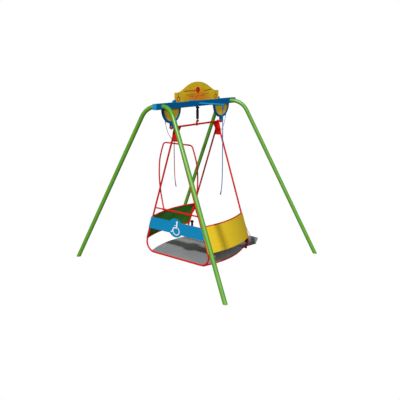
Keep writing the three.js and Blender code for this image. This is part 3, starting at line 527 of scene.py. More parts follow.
class Builder:
    """Collects many small closed solids into one piece."""

    def __init__(self):
        self.verts, self.faces = [], []

    def take(self, verts, faces):
        base = len(self.verts)
        self.verts += [Vector(v) for v in verts]
        self.faces += [[base + i for i in face] for face in faces]

    def lathe(self, profile, origin, axis, sides=16):
        """A closed solid of revolution: (radius, height) pairs along axis from origin."""
        axis, side, across = frame_round(axis)
        verts = []
        for radius, height in profile:
            centre = Vector(origin) + axis * height
            for k in range(sides):
                a = 2 * math.pi * k / sides
                verts.append(centre + radius * (math.cos(a) * side + math.sin(a) * across))
        self.take(verts, ring_walls(len(profile), sides))

    def bolt(self, origin, axis, size):
        """A washer under a hexagon head with a chamfered crown; size is half the head's width."""
        washer = [(1.35, 0), (1.35, 0.18), (1.2, 0.25)]
        head = [(1.08, 0.25), (1.12, 0.4), (1.12, 0.8), (0.95, 0.98)]
        crown = [(0.95, 0.9), (0.8, 1.0), (0.3, 1.02)]
        for profile, sides in ((washer, 18), (head, 6), (crown, 18)):
            self.lathe([(size * radius, size * height) for radius, height in profile], origin, axis, sides)

    def dome(self, origin, axis, size):
        """A round-headed screw on its rim."""
        profile = [(1, 0), (1, 0.15), (0.9, 0.4), (0.62, 0.62), (0.25, 0.7)]
        self.lathe([(size * radius, size * height) for radius, height in profile], origin, axis)

    def tube(self, points, radius, sides=8, closed=False):
        verts, faces = sweep(points, lambda length, angle: radius, sides, closed)
        self.take(verts, faces)

    def weld(self, centre, axis, radius, bead, wobble=0.0006):
        """A round bead about an axis, a little uneven as a hand-laid weld is."""
        self.tube(ring_points(centre, axis, radius, wobble), bead, closed=True)

    def ferrule(self, start, ahead, low=0.004, high=0.026):
        """A swaged sleeve round a wire rope, between two distances from start."""
        thin, thick = 0.0045, 0.0072
        profile = [(thin, low), (thick, low + 0.001), (thick, high), (thin, high + 0.002)]
        self.lathe(profile, start, ahead, 14)

    def make(self, name, look, body, bevel=0.0):
        return add_piece(name, self.verts, self.faces, look, body, bevel=bevel)


def sweep(points, radius_at, sides, closed=False):
    """A tube along points, without twist. radius_at(length, angle) shapes its section."""
    points = [Vector(p) for p in points]
    count = len(points)
    tangents = []
    for i in range(count):
        back = points[i - 1] if (i or closed) else points[i]
        ahead = points[(i + 1) % count] if (i < count - 1 or closed) else points[i]
        tangents.append((ahead - back).normalized())
    side = tangents[0].orthogonal().normalized()
    verts, length = [], 0.0
    for i, tangent in enumerate(tangents):
        if i:
            length += (points[i] - points[i - 1]).length
        side = (side - tangent * side.dot(tangent)).normalized()
        across = tangent.cross(side)
        for k in range(sides):
            a = 2 * math.pi * k / sides
            verts.append(points[i] + radius_at(length, a) * (math.cos(a) * side + math.sin(a) * across))
    return verts, ring_walls(count, sides, closed)


def spline(knots, step):
    """Points about every step metres along a centripetal Catmull-Rom curve through knots."""
    knots = [Vector(k) for k in knots]
    padded = [knots[0] * 2 - knots[1]] + knots + [knots[-1] * 2 - knots[-2]]
    points = []
    for i in range(1, len(padded) - 2):
        p0, p1, p2, p3 = padded[i - 1:i + 3]
        pieces = max(2, math.ceil((p2 - p1).length / step))
        t0 = 0.0
        t1 = t0 + (p1 - p0).length ** 0.5
        t2 = t1 + (p2 - p1).length ** 0.5
        t3 = t2 + (p3 - p2).length ** 0.5
        for k in range(pieces):
            t = t1 + (t2 - t1) * k / pieces
            a1 = p0 * ((t1 - t) / (t1 - t0)) + p1 * ((t - t0) / (t1 - t0))
            a2 = p1 * ((t2 - t) / (t2 - t1)) + p2 * ((t - t1) / (t2 - t1))
            a3 = p2 * ((t3 - t) / (t3 - t2)) + p3 * ((t - t2) / (t3 - t2))
            b1 = a1 * ((t2 - t) / (t2 - t0)) + a2 * ((t - t0) / (t2 - t0))
            b2 = a2 * ((t3 - t) / (t3 - t1)) + a3 * ((t - t1) / (t3 - t1))
            points.append(b1 * ((t2 - t) / (t2 - t1)) + b2 * ((t - t1) / (t2 - t1)))
    points.append(knots[-1])
    return points


def length_of(points):
    return sum((b - a).length for a, b in zip(points, points[1:]))


def laid(points, radius, strands, pitch=0.05, sides=24):
    """The verts and faces of a laid rope: round strands that wind round the line of points."""
    def radius_at(length, angle):
        turn = angle - 2 * math.pi * length / pitch
        return radius * (0.84 + 0.16 * abs(math.cos(strands * turn / 2)))
    return sweep(points, radius_at, sides)


# ---- cords: pull ropes, safety cables and ramp stays -----------------------------------------
ROPE_POINTS = [
    (0, -0.577, ROPE_TOP), (0, -0.577, 2.78), (0.001, -0.578, 2.6), (0.001, -0.579, 2.4), (0, -0.58, 2.2),
    (0, -0.581, 2.0), (0, -0.581, 1.85), (0.001, -0.58, 1.7), (0.001, -0.576, 1.56), (0, -0.568, 1.44),
    (0, -0.556, 1.36), (0, -0.542, 1.3),
]
SAFETY_CABLE = [
    (-0.88, 0, 2.6665), (-0.876, 0, 2.62), (-0.858, 0, 2.56), (-0.832, 0, 2.5), (-0.797, 0, 2.44),
    (-0.752, 0, 2.388), (-0.7, 0, 2.352), (-0.646, 0, 2.34),
]
STAY_CABLE = [
    (0.6515, -0.602, 0.776), (0.668, -0.607, 0.722), (0.7, -0.613, 0.64), (0.746, -0.618, 0.54),
    (0.796, -0.62, 0.452), (0.85, -0.621, 0.374), (0.907, -0.621, 0.301), (0.968, -0.621, 0.232),
    (1.03, -0.62, 0.164), (1.08, -0.618, 0.11), (1.106, -0.615, 0.078),
]
ROPE_STEP, CABLE_STEP = 0.008, 0.005
ROPE_RADIUS, CABLE_RADIUS = 0.0082, 0.0044
ROPE_STRANDS, CABLE_STRANDS = 3, 6
SLEEVE_LENGTH, SLEEVE_RADIUS = 0.06, 0.0098
WHIPPING_TURNS, WHIPPING_PITCH = 9, 0.0036
WHIPPING_START = 0.022      # below the top of the rope


def rope_sleeve(name, points):
    """The dark sleeve shrunk over a rope's lower end, with a bead at its top."""
    tail = []
    for point in reversed(points):
        tail.insert(0, point)
        if length_of(tail) > SLEEVE_LENGTH:
            break
    past_end = points[-1] + (points[-1] - points[-2]).normalized() * 0.004
    bead = [(0.0101, 0), (0.0108, 0.003), (0.0108, 0.009), (0.0101, 0.012)]
    sleeve = Builder()
    sleeve.tube(tail[:-1] + [past_end], SLEEVE_RADIUS, 16)
    sleeve.lathe(bead, tail[0], tail[1] - tail[0])
    return sleeve.make(f"rope_end_sleeve_{name}", TIP, "stand")


def rope_whipping(name, top, look):
    """Turns of twine round a rope below its eye."""
    turn = [(0.0088, 0), (0.0097, 0.0012), (0.0097, 0.0024), (0.0088, WHIPPING_PITCH)]
    whip = Builder()
    for k in range(WHIPPING_TURNS):
        whip.lathe(turn, top - Z * (WHIPPING_START + WHIPPING_PITCH * k), -Z)
    return whip.make(f"rope_whipping_{name}", look, "stand")


def make_rope(name, side, look):
    points = spline([(x, -side * y, z) for x, y, z in ROPE_POINTS], ROPE_STEP)
    verts, faces = laid(points, ROPE_RADIUS, ROPE_STRANDS)
    rope = add_piece(f"laid_rope_{name}", verts, faces, look, "stand")
    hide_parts(f"pull_rope_{name}")
    tip = rope_sleeve(name, points)
    splice = rope_whipping(name, points[0], look)


def make_cable(name, knots, node):
    """A wire rope laid along the knots, in place of the CAD node, which it hides."""
    verts, faces = laid(spline(knots, CABLE_STEP), CABLE_RADIUS, CABLE_STRANDS)
    cable = add_piece(name, verts, faces, WIRE)
    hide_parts(node)
    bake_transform(cable)


def make_cords():
    make_rope("left", -1, ROPE_BLUE)
    make_rope("right", 1, ROPE_RED)
    for end, sign in (("front", 1), ("rear", -1)):
        knots = [(sign * x, y, z) for x, y, z in SAFETY_CABLE]
        make_cable(f"safety_wire_{end}", knots, f"safety_cable_{end}")
    for side, sign in (("left", 1), ("right", -1)):
        knots = [(x, sign * y, z) for x, y, z in STAY_CABLE]
        make_cable(f"stay_wire_{side}", knots, f"stay_cable_{side}")


make_cords()


# ---- welds -----------------------------------------------------------------------------------
RING_STEPS = 26
ARM_WELD_Y = 0.0475         # just outside the beam's sides
LEG_WELD_X = 0.9885
BRACKET_TOP_Z = 2.8912
BRACKET_RUN = 0.243         # half the length of the bead along a bracket's top
NECK_BEAD_Z = 2.637         # where a bearing housing's neck meets the bracket
HOOP_TOP_Z = 2.3995         # where the hoops' legs end at the apex plates
LEG_SEAM = (2.306, 0.084)   # the seam between leg and apex plate: its foot and its height
WEB_SEAM = (2.322, 0.2)     # the seam up the apex plate's web
AXLE_SEAM = (0.62, 0.13)    # the seam between web and axle: its outer end and its length
AXLE_SEAM_Z = 2.5445


def ring_points(centre, axis, radius, wobble):
    """A closed loop round axis. Each point is moved by up to wobble."""
    axis, side, across = frame_round(axis)
    chance = random.Random(int(1e4 * (abs(centre[0]) + abs(centre[1]) + abs(centre[2]))))
    loop = []
    for k in range(RING_STEPS):
        a = 2 * math.pi * k / RING_STEPS
        r = radius + chance.uniform(-wobble, wobble)
        loop.append(Vector(centre) + r * (math.cos(a) * side + math.sin(a) * across)
                    + axis * chance.uniform(-wobble, wobble))
    return loop


def leg_welds():
    beads = Builder()
    for end in ENDS:
        for side in SIDES:
            beads.weld((end * LEG_WELD_X, side * ARM_WELD_Y, BEAM_Z), (0.28, side, 0), 0.0392, 0.0035)
    beads.make("leg_weld_beads", GREEN, "stand")


def beam_welds():
    """Beads round the rope arms, along the brackets' tops and on the housings' necks."""
    beads = Builder()
    for side in SIDES:
        beads.weld((0, side * ARM_WELD_Y, BEAM_Z), Y, 0.0178, 0.0028)
    for end in ENDS:
        for face in FACES:
            run = [(end * BRACKET_X + BRACKET_RUN * k / 12, face * 0.0163, BRACKET_TOP_Z)
                   for k in range(-12, 13)]
            beads.tube(run, 0.0026)
            turns = [math.pi * k / 8 for k in range(9)]
            neck = [(end * BRACKET_X + 0.03 * math.cos(a), face * 0.0165, NECK_BEAD_Z + 0.004 * math.sin(a))
                    for a in turns]
            beads.tube(neck, 0.0022)
    beads.make("beam_weld_beads", NAVY, "stand")


def rail_welds(beads, end, side):
    """Beads where the three rails of one side meet a hoop."""
    run = Vector((end, side * -0.34, 0)).normalized()
    for z, out, radius in ((TOP_RAIL_Z, hoop_half(TOP_RAIL_Z), 0.0134),
                           (MIDDLE_RAIL_Z, hoop_half(MIDDLE_RAIL_Z), 0.0134),
                           (BOTTOM_RAIL_Z, 0.626, 0.0168)):
        spot = Vector((end * HOOP_X, side * out, z)) - run * 0.0186
        beads.weld(spot, run, radius + 0.001, 0.0026)


def hoop_top_weld(beads, end, side):
    axis = Vector((0, side * HOOP_SLOPE, -1))
    top = Vector((end * HOOP_X, side * 0.0485, HOOP_TOP_Z))
    beads.weld(top + axis.normalized() * 0.003, axis, 0.0178, 0.0024)


def apex_welds(beads, end, side):
    """Beads along an apex plate's seam with the hoop's leg, up its web, and between web and axle."""
    low, height = LEG_SEAM
    seam = [(side * (hoop_half(z) - 0.0195), z) for z in [low + height * k / 10 for k in range(11)]]
    for face in (1, -1):
        beads.tube([(end * HOOP_X + face * 0.0062, y, z) for y, z in seam], 0.0022)
    low, height = WEB_SEAM
    beads.tube([(end * 0.6235, side * 0.0045, low + height * k / 12) for k in range(13)], 0.0022)
    outer, length = AXLE_SEAM
    beads.tube([(end * (outer - length * k / 10), side * 0.0042, AXLE_SEAM_Z) for k in range(11)], 0.002)


def gondola_welds():
    beads = Builder()
    for end in ENDS:
        for side in SIDES:
            rail_welds(beads, end, side)
            hoop_top_weld(beads, end, side)
        for side in SIDES:
            apex_welds(beads, end, side)
        for x in (0.6225, 0.6375):
            beads.weld((end * x, 0, AXLE_Z), X, 0.0185, 0.0024)
    for side in SIDES:
        beads.weld((-HOOP_X, side * 0.5045, CROSSBAR_Z), Y, 0.0142, 0.0024)
    for x in (-0.0255, -0.0115):
        beads.weld((x, 0, AXLE_Z), X, 0.0186, 0.0024)
    beads.make("gondola_weld_beads", RED, "gondola")


# ---- fasteners and fittings of the stand -----------------------------------------------------
def axle_ends():
    bolts = Builder()
    for end in ENDS:
        bolts.bolt((end * 0.7601, 0, AXLE_Z), (end, 0, 0), 0.0105)
    bolts.make("axle_end_bolts", RED, "gondola")


def bearing_fittings():
    """Grease nipples under the bearing housings, and their raised rims."""
    nipple = [(0.005, 0), (0.005, 0.004), (0.003, 0.005), (0.003, 0.008), (0.0045, 0.0095),
              (0.0045, 0.0125), (0.002, 0.015)]
    fittings = Builder()
    for end in ENDS:
        fittings.lathe(nipple, (end * BRACKET_X, 0, 2.5332), -Z, 12)
    fittings.make("grease_nipples", BRASS, "stand")
    rims = Builder()
    for end in ENDS:
        for face in FACES:
            rims.weld((end * BRACKET_X + face * 0.0178, 0, AXLE_Z), X, 0.0262, 0.0016, wobble=0.0)
    rims.make("housing_rims", SKY, "stand")


INFILL_SCREW_REACH = (0.185, 0.197)     # half-axes of the ellipse of screws
INFILL_SCREW_Z = 2.8925


def bracket_screws():
    wide, high = INFILL_SCREW_REACH
    screws = Builder()
    for end in ENDS:
        for face in FACES:
            for degrees in (192, 222, 318, 348):
                a = math.radians(degrees)
                x, z = end * BRACKET_X + wide * math.cos(a), INFILL_SCREW_Z + high * math.sin(a)
                screws.dome((x, face * 0.0051, z), (0, face, 0), 0.006)
    screws.make("infill_screws", ZINC, "stand")


SIGN_CLIP_X = 0.638
FOOT_ANGLE_RUN = (-0.27, -0.07)
FOOT_ANGLE_Z = 2.9936
FOOT_ANGLE_SECTION = [(-0.0448, 0), (-0.0098, 0), (-0.0098, 0.013), (-0.0142, 0.013), (-0.0142, 0.004),
                      (-0.0448, 0.004)]


def sign_bolts():
    screws = Builder()
    for end in ENDS:
        for z in (3.004, 3.024):
            for face in FACES:
                screws.bolt((end * SIGN_CLIP_X, face * 0.0223, z), (0, face, 0), 0.0052)
    for x in (-0.22, -0.09):
        screws.bolt((x, -0.0335, 2.9985), Z, 0.005)
    screws.make("sign_bolts", ZINC, "stand")


def sign_foot_angle():
    """A short L section that holds the sign's foot on the beam."""
    count = len(FOOT_ANGLE_SECTION)
    verts = [(x, y, FOOT_ANGLE_Z + z) for x in FOOT_ANGLE_RUN for y, z in FOOT_ANGLE_SECTION]
    add_piece("sign_foot_angle_0", verts, ring_walls(2, count), SKY, "stand", smooth=False, bevel=0.0012)


def arm_plugs():
    plug = [(0.0138, -0.01), (0.0138, 0.0), (0.0172, 0.0003), (0.0172, 0.003), (0.0155, 0.006),
            (0.009, 0.0078)]
    plugs = Builder()
    for side in SIDES:
        plugs.lathe(plug, (0, side * 0.6053, BEAM_Z), (0, side, 0), 20)
    plugs.make("arm_end_plugs", CAP, "stand")


def eye_nuts():
    """The washer and nut under each rope arm that hold its eye."""
    washer = [(0.0085, 0), (0.0085, 0.0012), (0.0078, 0.0016)]
    nut = [(0.0062, 0.0016), (0.0066, 0.0024), (0.0066, 0.0062), (0.0058, 0.007)]
    nuts = Builder()
    for side in SIDES:
        for profile, sides in ((washer, 16), (nut, 6)):
            nuts.lathe(profile, (0, side * ROPE_Y, 2.9259), -Z, sides)
    nuts.make("rope_eye_nuts", NAVY, "stand")


HITCH_RADIUS, HITCH_STRAND = 0.0122, 0.0066
HITCH_LEANS = (0.0, 0.5, -0.5)
HITCH_DROP = 0.0035         # below the eye's lowest centre line
HITCH_STEPS = 22


def rope_hitch(name, side, look):
    """Three turns of rope through the eye, two of them leaning."""
    hitch = Builder()
    low = EYE_Z - EYE_RADIUS
    for lean in HITCH_LEANS:
        loop = []
        for k in range(HITCH_STEPS):
            a = 2 * math.pi * k / HITCH_STEPS
            x = lean * 0.006 + HITCH_RADIUS * math.cos(a)
            y = side * ROPE_Y + lean * 0.004 * math.sin(a)
            loop.append((x, y, low + HITCH_RADIUS * math.sin(a) - HITCH_DROP))
        hitch.tube(loop, HITCH_STRAND, 10, True)
    hitch.make(f"rope_hitch_{name}", look, "stand")


def damper_fittings():
    """End bands on the cylinder, and the seal at the rod's mouth."""
    bands = Builder()
    for z in (2.6615, 2.8145):
        bands.lathe([(0.0252, 0), (0.0268, 0.001), (0.0268, 0.006), (0.0252, 0.007)], (0, 0, z), Z, 26)
    bands.make("damper_bands", BLACK_STEEL, "damper_cylinder")
    seal = Builder()
    seal.lathe([(0.0098, 0), (0.0185, 0), (0.0185, -0.004), (0.0135, -0.0075), (0.0105, -0.0085)],
               (0, 0, 2.6588), Z, 22)
    seal.make("damper_rod_seal", ZINC, "damper_cylinder")


# ---- fasteners and fittings of the gondola ---------------------------------------------------
FRONT_SCREW_X = -0.6594
FRONT_SCREW_LEVELS = (0.625, 0.7, 0.782)
SIDE_SCREW_LEVELS = (0.366, 0.811)
SIDE_SCREW_PLACES = (-0.6, -0.36, -0.12, 0.12, 0.36, 0.6)


def front_panel_screws():
    screws = Builder()
    for side in SIDES:
        for z in FRONT_SCREW_LEVELS:
            screws.dome((FRONT_SCREW_X, side * (hoop_half(z) - 0.002), z), -X, 0.0085)
    screws.make("front_panel_screws", ZINC, "gondola")


def side_panel_screws():
    screws = Builder()
    for side in SIDES:
        for z in SIDE_SCREW_LEVELS:
            for x in SIDE_SCREW_PLACES:
                y = hoop_half(z) + PANEL_INNER + RAIL_BOW * bow(x) + PANEL_THICK
                normal = Vector((2 * RAIL_BOW * x / HOOP_X ** 2, 1, HOOP_SLOPE)).normalized()
                spot = Vector((x, y, z)) + normal * 0.0001
                spot.y *= side
                normal.y *= side
                screws.dome(spot, normal, 0.0075)
    screws.make("side_panel_screws", ZINC, "gondola")


RIVET = [(0.006, 0), (0.006, 0.0006), (0.0045, 0.0014), (0.0015, 0.0016)]
RIVET_PITCH = 0.17
RIVET_Z = 0.1263            # just above the floor plate


def floor_rivets():
    """Rows of rivets across the floor plate, over its edges and its cross members."""
    rivets = Builder()
    for end in ENDS:
        for k in range(-3, 4):
            for x, spread in ((0.585, 1), (0.22, 1.15)):
                rivets.lathe(RIVET, (end * x, k * RIVET_PITCH * spread, RIVET_Z), Z, 12)
    rivets.make("floor_rivets", ZINC, "gondola")


LIP_SECTION = [(0.6096, 0.104), (0.6126, 0.104), (0.6126, 0.1214), (0.6096, 0.1214)]
LIP_HALF_LENGTH = 0.6


def floor_edges():
    """The turned-down lips of the floor plate at its front and rear."""
    for end, name in zip(ENDS, ("front", "rear")):
        verts = [(end * x, side * LIP_HALF_LENGTH, z) for side in SIDES for x, z in LIP_SECTION]
        lip = Builder()
        lip.take(verts, ring_walls(2, len(LIP_SECTION)))
        lip.make(f"floor_lip_{name}", FLOOR_PLATE, "gondola", bevel=0.0006)


COLLAR_STARTS = (0.3075, -0.3715)       # along the crossbar
COLLAR_LENGTH = 0.02


def crossbar_collars():
    """Stop collars beside the restraint loop's sleeve, each with its set screw."""
    collar = [(0.0138, 0), (0.0185, 0), (0.0195, 0.0015), (0.0195, 0.0185), (0.0185, COLLAR_LENGTH),
              (0.0138, COLLAR_LENGTH)]
    collars, screws = Builder(), Builder()
    for start in COLLAR_STARTS:
        collars.lathe(collar, (-HOOP_X, start, CROSSBAR_Z), Y, 22)
        screws.dome((-HOOP_X, start + COLLAR_LENGTH / 2, 1.0254), Z, 0.004)
    collars.make("crossbar_collars", RED, "gondola")
    screws.make("collar_set_screws", ZINC, "gondola")


def latch_button():
    knob = [(0.006, 0), (0.006, 0.006), (0.0095, 0.0085), (0.0095, 0.015), (0.007, 0.0175), (0.002, 0.018)]
    button = Builder()
    button.lathe(knob, (-HOOP_X, -0.235, 1.0349), Z)
    button.make("latch_button", BLACK, "restraint_loop")


PIN_RING = [(0.0219, 0), (0.0232, 0.0012), (0.0232, 0.0034), (0.0219, 0.0046)]
PIN_RING_LEVELS = (0.108, 0.116, 0.124)
PIN_COLLAR = [(0.0102, 0), (0.0128, 0.0005), (0.0128, 0.004), (0.0102, 0.0048)]
PIN_COLLAR_Z = 0.1405
GRIP_RIB = [(0.0224, 0), (0.0238, 0.0016), (0.0238, 0.0046), (0.0224, 0.0062)]
GRIP_RIB_LEVELS = (0.2885, 0.3, 0.3115, 0.323)


def pin_fittings(name, side):
    """Rings on a drop pin's rubber foot with a collar above them, and ribs on its handle's stem."""
    foot, grip = Builder(), Builder()
    y = side * PIN_Y
    for z in PIN_RING_LEVELS:
        foot.lathe(PIN_RING, (PIN_X, y, z), Z, 22)
    foot.lathe(PIN_COLLAR, (PIN_X, y, PIN_COLLAR_Z), Z, 18)
    for z in GRIP_RIB_LEVELS:
        grip.lathe(GRIP_RIB, (PIN_X, y, z), Z, 20)
    foot.make(f"pin_foot_rings_{name}", BLACK, f"drop_pin_{name}")
    grip.make(f"pin_grip_ribs_{name}", BLACK, f"drop_pin_{name}")


def safety_cable_fittings(name, end):
    """A ferrule and two bolts at the bracket's lug, and a ferrule and an anchor at the apex plate."""
    anchor = [(0.012, 0), (0.012, 0.003), (0.0085, 0.0045), (0.0085, 0.0085)]
    top, low = Builder(), Builder()
    top.ferrule((end * 0.88, 0, 2.6665), (end * -0.004, 0, -0.0465))
    for face in FACES:
        top.bolt((end * 0.8805, face * 0.0082, 2.6826), (0, face, 0), 0.0065)
    top.make(f"cable_lug_fitting_{name}", ZINC, "stand")
    low.ferrule((end * 0.646, 0, 2.34), (end * 0.054, 0, 0.012), 0.006, 0.028)
    low.lathe(anchor, (end * 0.6363, 0, 2.34), (end, 0, 0))
    low.make(f"cable_anchor_{name}", ZINC, "gondola")


def stay_cable_fittings(name, side):
    """A ferrule and an anchor at the hoop, and a ferrule and an eye at the ramp's side."""
    anchor = [(0.0105, 0), (0.0105, 0.0025), (0.007, 0.004), (0.007, 0.009)]
    eye = [(0.011, 0), (0.011, 0.0024), (0.0075, 0.0032), (0.0075, 0.0085)]
    held, foot = Builder(), Builder()
    held.ferrule((0.6515, side * 0.602, 0.776), (0.0165, side * 0.005, -0.054))
    held.lathe(anchor, (0.6465, side * 0.6, 0.7805), X)
    held.make(f"stay_anchor_{name}", ZINC, "gondola")
    foot.ferrule((1.106, side * 0.615, 0.078), (-0.026, side * 0.003, 0.032), 0.003)
    foot.lathe(eye, (1.1085, side * 0.612, 0.0643), (0.096, 0, 1))
    foot.make(f"stay_eye_{name}", ZINC, "ramp")


# ---- flat artwork ----------------------------------------------------------------------------
FILM_THICK = 0.0007


def flat_piece(name, outline, place, normal, thickness, look, body, holes=()):
    """A thin solid from an outline of (across, up) points; place maps such a point to the frame."""
    shape = bmesh.new()
    loops = []
    for ring in (outline, *holes):
        verts = [shape.verts.new(place(a, b)) for a, b in ring]
        loops += [shape.edges.new((verts[i], verts[(i + 1) % len(verts)])) for i in range(len(verts))]
    bmesh.ops.triangle_fill(shape, use_beauty=True, use_dissolve=False, edges=loops)
    grown = bmesh.ops.extrude_face_region(shape, geom=list(shape.faces))
    moved = [v for v in grown["geom"] if isinstance(v, bmesh.types.BMVert)]
    bmesh.ops.translate(shape, vec=Vector(normal) * thickness, verts=moved)
    bmesh.ops.recalc_face_normals(shape, faces=shape.faces)
    mesh = bpy.data.meshes.new(name)
    shape.to_mesh(mesh)
    shape.free()
    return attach(show(name, mesh, look), body)


def arc(a, b, radius, start, end, count=24):
    return [(a + radius * math.cos(start + (end - start) * k / count),
             b + radius * math.sin(start + (end - start) * k / count)) for k in range(count + 1)]


def circle(a, b, radius, count):
    return arc(a, b, radius, 0, 2 * math.pi, count)[:-1]


def stroke(points, width):
    """The outline of a line of that width with round ends."""
    points = [Vector(p) for p in points]
    left, right = [], []
    for i, p in enumerate(points):
        run = (points[min(i + 1, len(points) - 1)] - points[max(i - 1, 0)]).normalized()
        side = Vector((-run.y, run.x)) * width / 2
        left.append(tuple(p + side))
        right.append(tuple(p - side))

    def cap(tip, neighbour):
        ahead = tip - neighbour
        base = math.atan2(ahead.y, ahead.x)
        return arc(tip.x, tip.y, width / 2, base + math.pi / 2, base - math.pi / 2, 6)[1:-1]

    return left + cap(points[-1], points[-2]) + right[::-1] + cap(points[0], points[1])


BADGE_X = -0.65955
BADGE_THICK, BADGE_STEP = 0.0008, 0.00005       # each part is a step thicker than the one before
WHEEL_AT, WHEEL_RADIUS = (-0.02, 0.65), 0.075
BADGE_LINES = [
    ([(-0.043, 0.8), (-0.037, 0.75), (-0.03, 0.712)], 0.029),       # back
    ([(-0.03, 0.712), (0.012, 0.708), (0.038, 0.706)], 0.022),      # thigh
    ([(-0.037, 0.762), (-0.006, 0.754), (0.018, 0.75)], 0.012),     # arm
    ([(0.038, 0.706), (0.058, 0.67), (0.075, 0.628)], 0.021),       # shin
    ([(0.075, 0.628), (0.106, 0.622)], 0.018),                      # foot
    (arc(*WHEEL_AT, WHEEL_RADIUS, math.radians(128), math.radians(386), 40), 0.017),
]


def badge():
    """A plain figure in a wheelchair, white on the front panel's disc, facing +Y."""
    def place(a, b):
        return (BADGE_X, a, b)

    parts = [circle(-0.042, 0.82, 0.021, 24)] + [stroke(line, width) for line, width in BADGE_LINES]
    for k, outline in enumerate(parts):
        thickness = BADGE_THICK + BADGE_STEP * k
        flat_piece(f"badge_figure_{k}", outline, place, -X, thickness, WHITE, "gondola")


# The sign's artwork as (along, height) points, the same on both faces.
BALLOON_AT, BALLOON_REACH = (0.002, 3.186), (0.06, 0.053)
BALLOON_KNOT = [(0.002, 3.139), (-0.01, 3.125), (0.014, 3.125)]
BALLOON_SHINE = [(-0.022, 3.208), (-0.025, 3.191), (-0.02, 3.176)]
BALLOON_STRING = [(0.002, 3.126), (0.024, 3.11), (0.018, 3.094), (-0.012, 3.078), (-0.048, 3.056),
                  (-0.078, 3.034)]
SWEEPS = [
    [(-0.375, 3.168), (-0.3, 3.176), (-0.2, 3.177), (-0.12, 3.173), (-0.07, 3.176)],
    [(0.19, 3.163), (0.26, 3.168), (0.33, 3.177), (0.39, 3.179)],
]
WAVES = [
    [(-0.33, 3.098), (-0.28, 3.112), (-0.23, 3.1), (-0.18, 3.112), (-0.13, 3.1), (-0.09, 3.108)],
    [(0.12, 3.112), (0.17, 3.1), (0.22, 3.114), (0.27, 3.102), (0.32, 3.114)],
]
SCRAWLS = [
    [(-0.25, 3.074), (-0.2, 3.084), (-0.16, 3.071), (-0.12, 3.082)],
    [(0.08, 3.078), (0.12, 3.088), (0.16, 3.074), (0.2, 3.086)],
]
SIGN_LINES = [("sweep", SWEEPS, 0.018, FILM_RUST), ("wave", WAVES, 0.012, FILM_OCHRE),
              ("scrawl", SCRAWLS, 0.01, FILM_RUST)]
RING_ENDS, RING_Z = (-0.545, 0.545), 3.046
RING_OUTER, RING_INNER = 0.047, 0.027
RING_LINE = (3.09, 3.15)
SIGN_FACE_Y = 0.00905
OVERLAP_STEP = 0.00005      # added to a film that lies over another


def sign_film(part, face, outline, look, lift=0.0, holes=()):
    """A film on one face of the sign. lift is added to its thickness."""
    def place(a, b):
        return (-face * a, face * SIGN_FACE_Y, b)

    name = f"sign_{part}_{'near' if face < 0 else 'far'}"
    flat_piece(name, outline, place, (0, face, 0), FILM_THICK + lift, look, "stand", holes)


def balloon_outline():
    """An ellipse that narrows towards its foot."""
    (along, height), (wide, high) = BALLOON_AT, BALLOON_REACH
    outline = []
    for k in range(36):
        t = 2 * math.pi * k / 36
        squeeze = 1 - 0.22 * max(0.0, -math.sin(t)) ** 2
        outline.append((along + wide * squeeze * math.cos(t), height + high * math.sin(t)))
    return outline


def sign_balloon(face):
    sign_film("balloon", face, balloon_outline(), FILM_RED)
    sign_film("balloon_knot", face, BALLOON_KNOT, FILM_RED, OVERLAP_STEP)
    sign_film("balloon_shine", face, stroke(BALLOON_SHINE, 0.008), FILM_PINK, 6 * OVERLAP_STEP)
    sign_film("string", face, stroke(BALLOON_STRING, 0.013), FILM_RUST)


def sign_rings(face):
    for k, a in enumerate(RING_ENDS):
        hole = circle(a, RING_Z, RING_INNER, 30)
        sign_film(f"ring_{k}", face, circle(a, RING_Z, RING_OUTER, 30), FILM_RUST, holes=[hole])
        line = stroke([(a, z) for z in RING_LINE], 0.014)
        sign_film(f"ring_line_{k}", face, line, FILM_RUST, OVERLAP_STEP)


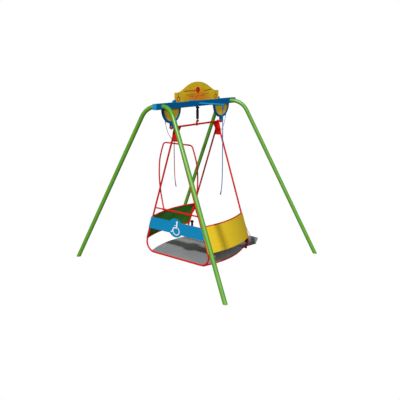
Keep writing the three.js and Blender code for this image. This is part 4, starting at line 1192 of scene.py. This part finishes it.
def sign_art():
    """A balloon on a string between two sweeping lines, and a hanging ring at each end."""
    for face in FACES:
        sign_balloon(face)
        for part, lines, width, look in SIGN_LINES:
            for k, line in enumerate(lines):
                sign_film(f"{part}_{k}", face, stroke(line, width), look)
        sign_rings(face)


# ---- the pieces in their order ---------------------------------------------------------------
leg_welds()
beam_welds()
gondola_welds()
axle_ends()
bearing_fittings()
bracket_screws()
sign_bolts()
sign_foot_angle()
front_panel_screws()
side_panel_screws()
floor_rivets()
floor_edges()
crossbar_collars()
latch_button()
arm_plugs()
eye_nuts()
rope_hitch("left", -1, ROPE_BLUE)
rope_hitch("right", 1, ROPE_RED)
damper_fittings()
pin_fittings("left", -1)
pin_fittings("right", 1)
safety_cable_fittings("front", -1)
safety_cable_fittings("rear", 1)
stay_cable_fittings("left", -1)
stay_cable_fittings("right", 1)
badge()
sign_art()


# ---- light -----------------------------------------------------------------------------------
AMBIENT, BACKDROP = 0.11, 1.0               # the world as light, and as the camera sees it
KEY_SUN = (2.9, 4, (0.46, 0.11, -0.4))      # strength, spread in degrees, direction
FILL_SUN = (1.0, 40, (0.38, 0.76, -0.55))


def make_sun(name, strength, spread, direction):
    data = bpy.data.lights.new(name, "SUN")
    data.energy, data.angle = strength, math.radians(spread)
    sun = bpy.data.objects.new(name, data)
    bpy.context.scene.collection.objects.link(sun)
    sun.rotation_euler = Vector(direction).to_track_quat("-Z", "Y").to_euler()


def white_background(nodes, strength):
    background = nodes.new("ShaderNodeBackground")
    background.inputs["Color"].default_value = (1, 1, 1, 1)
    background.inputs["Strength"].default_value = strength
    return background.outputs[0]


def make_world():
    world = bpy.data.worlds.new("studio")
    bpy.context.scene.world = world
    world.use_nodes = True
    nodes, links = world.node_tree.nodes, world.node_tree.links
    pick = nodes.new("ShaderNodeMixShader")
    links.new(nodes.new("ShaderNodeLightPath").outputs["Is Camera Ray"], pick.inputs[0])
    links.new(white_background(nodes, AMBIENT), pick.inputs[1])
    links.new(white_background(nodes, BACKDROP), pick.inputs[2])
    links.new(pick.outputs[0], nodes["World Output"].inputs[0])


make_world()
make_sun("key", *KEY_SUN)
make_sun("fill", *FILL_SUN)
bpy.context.scene.view_settings.view_transform = "Standard"
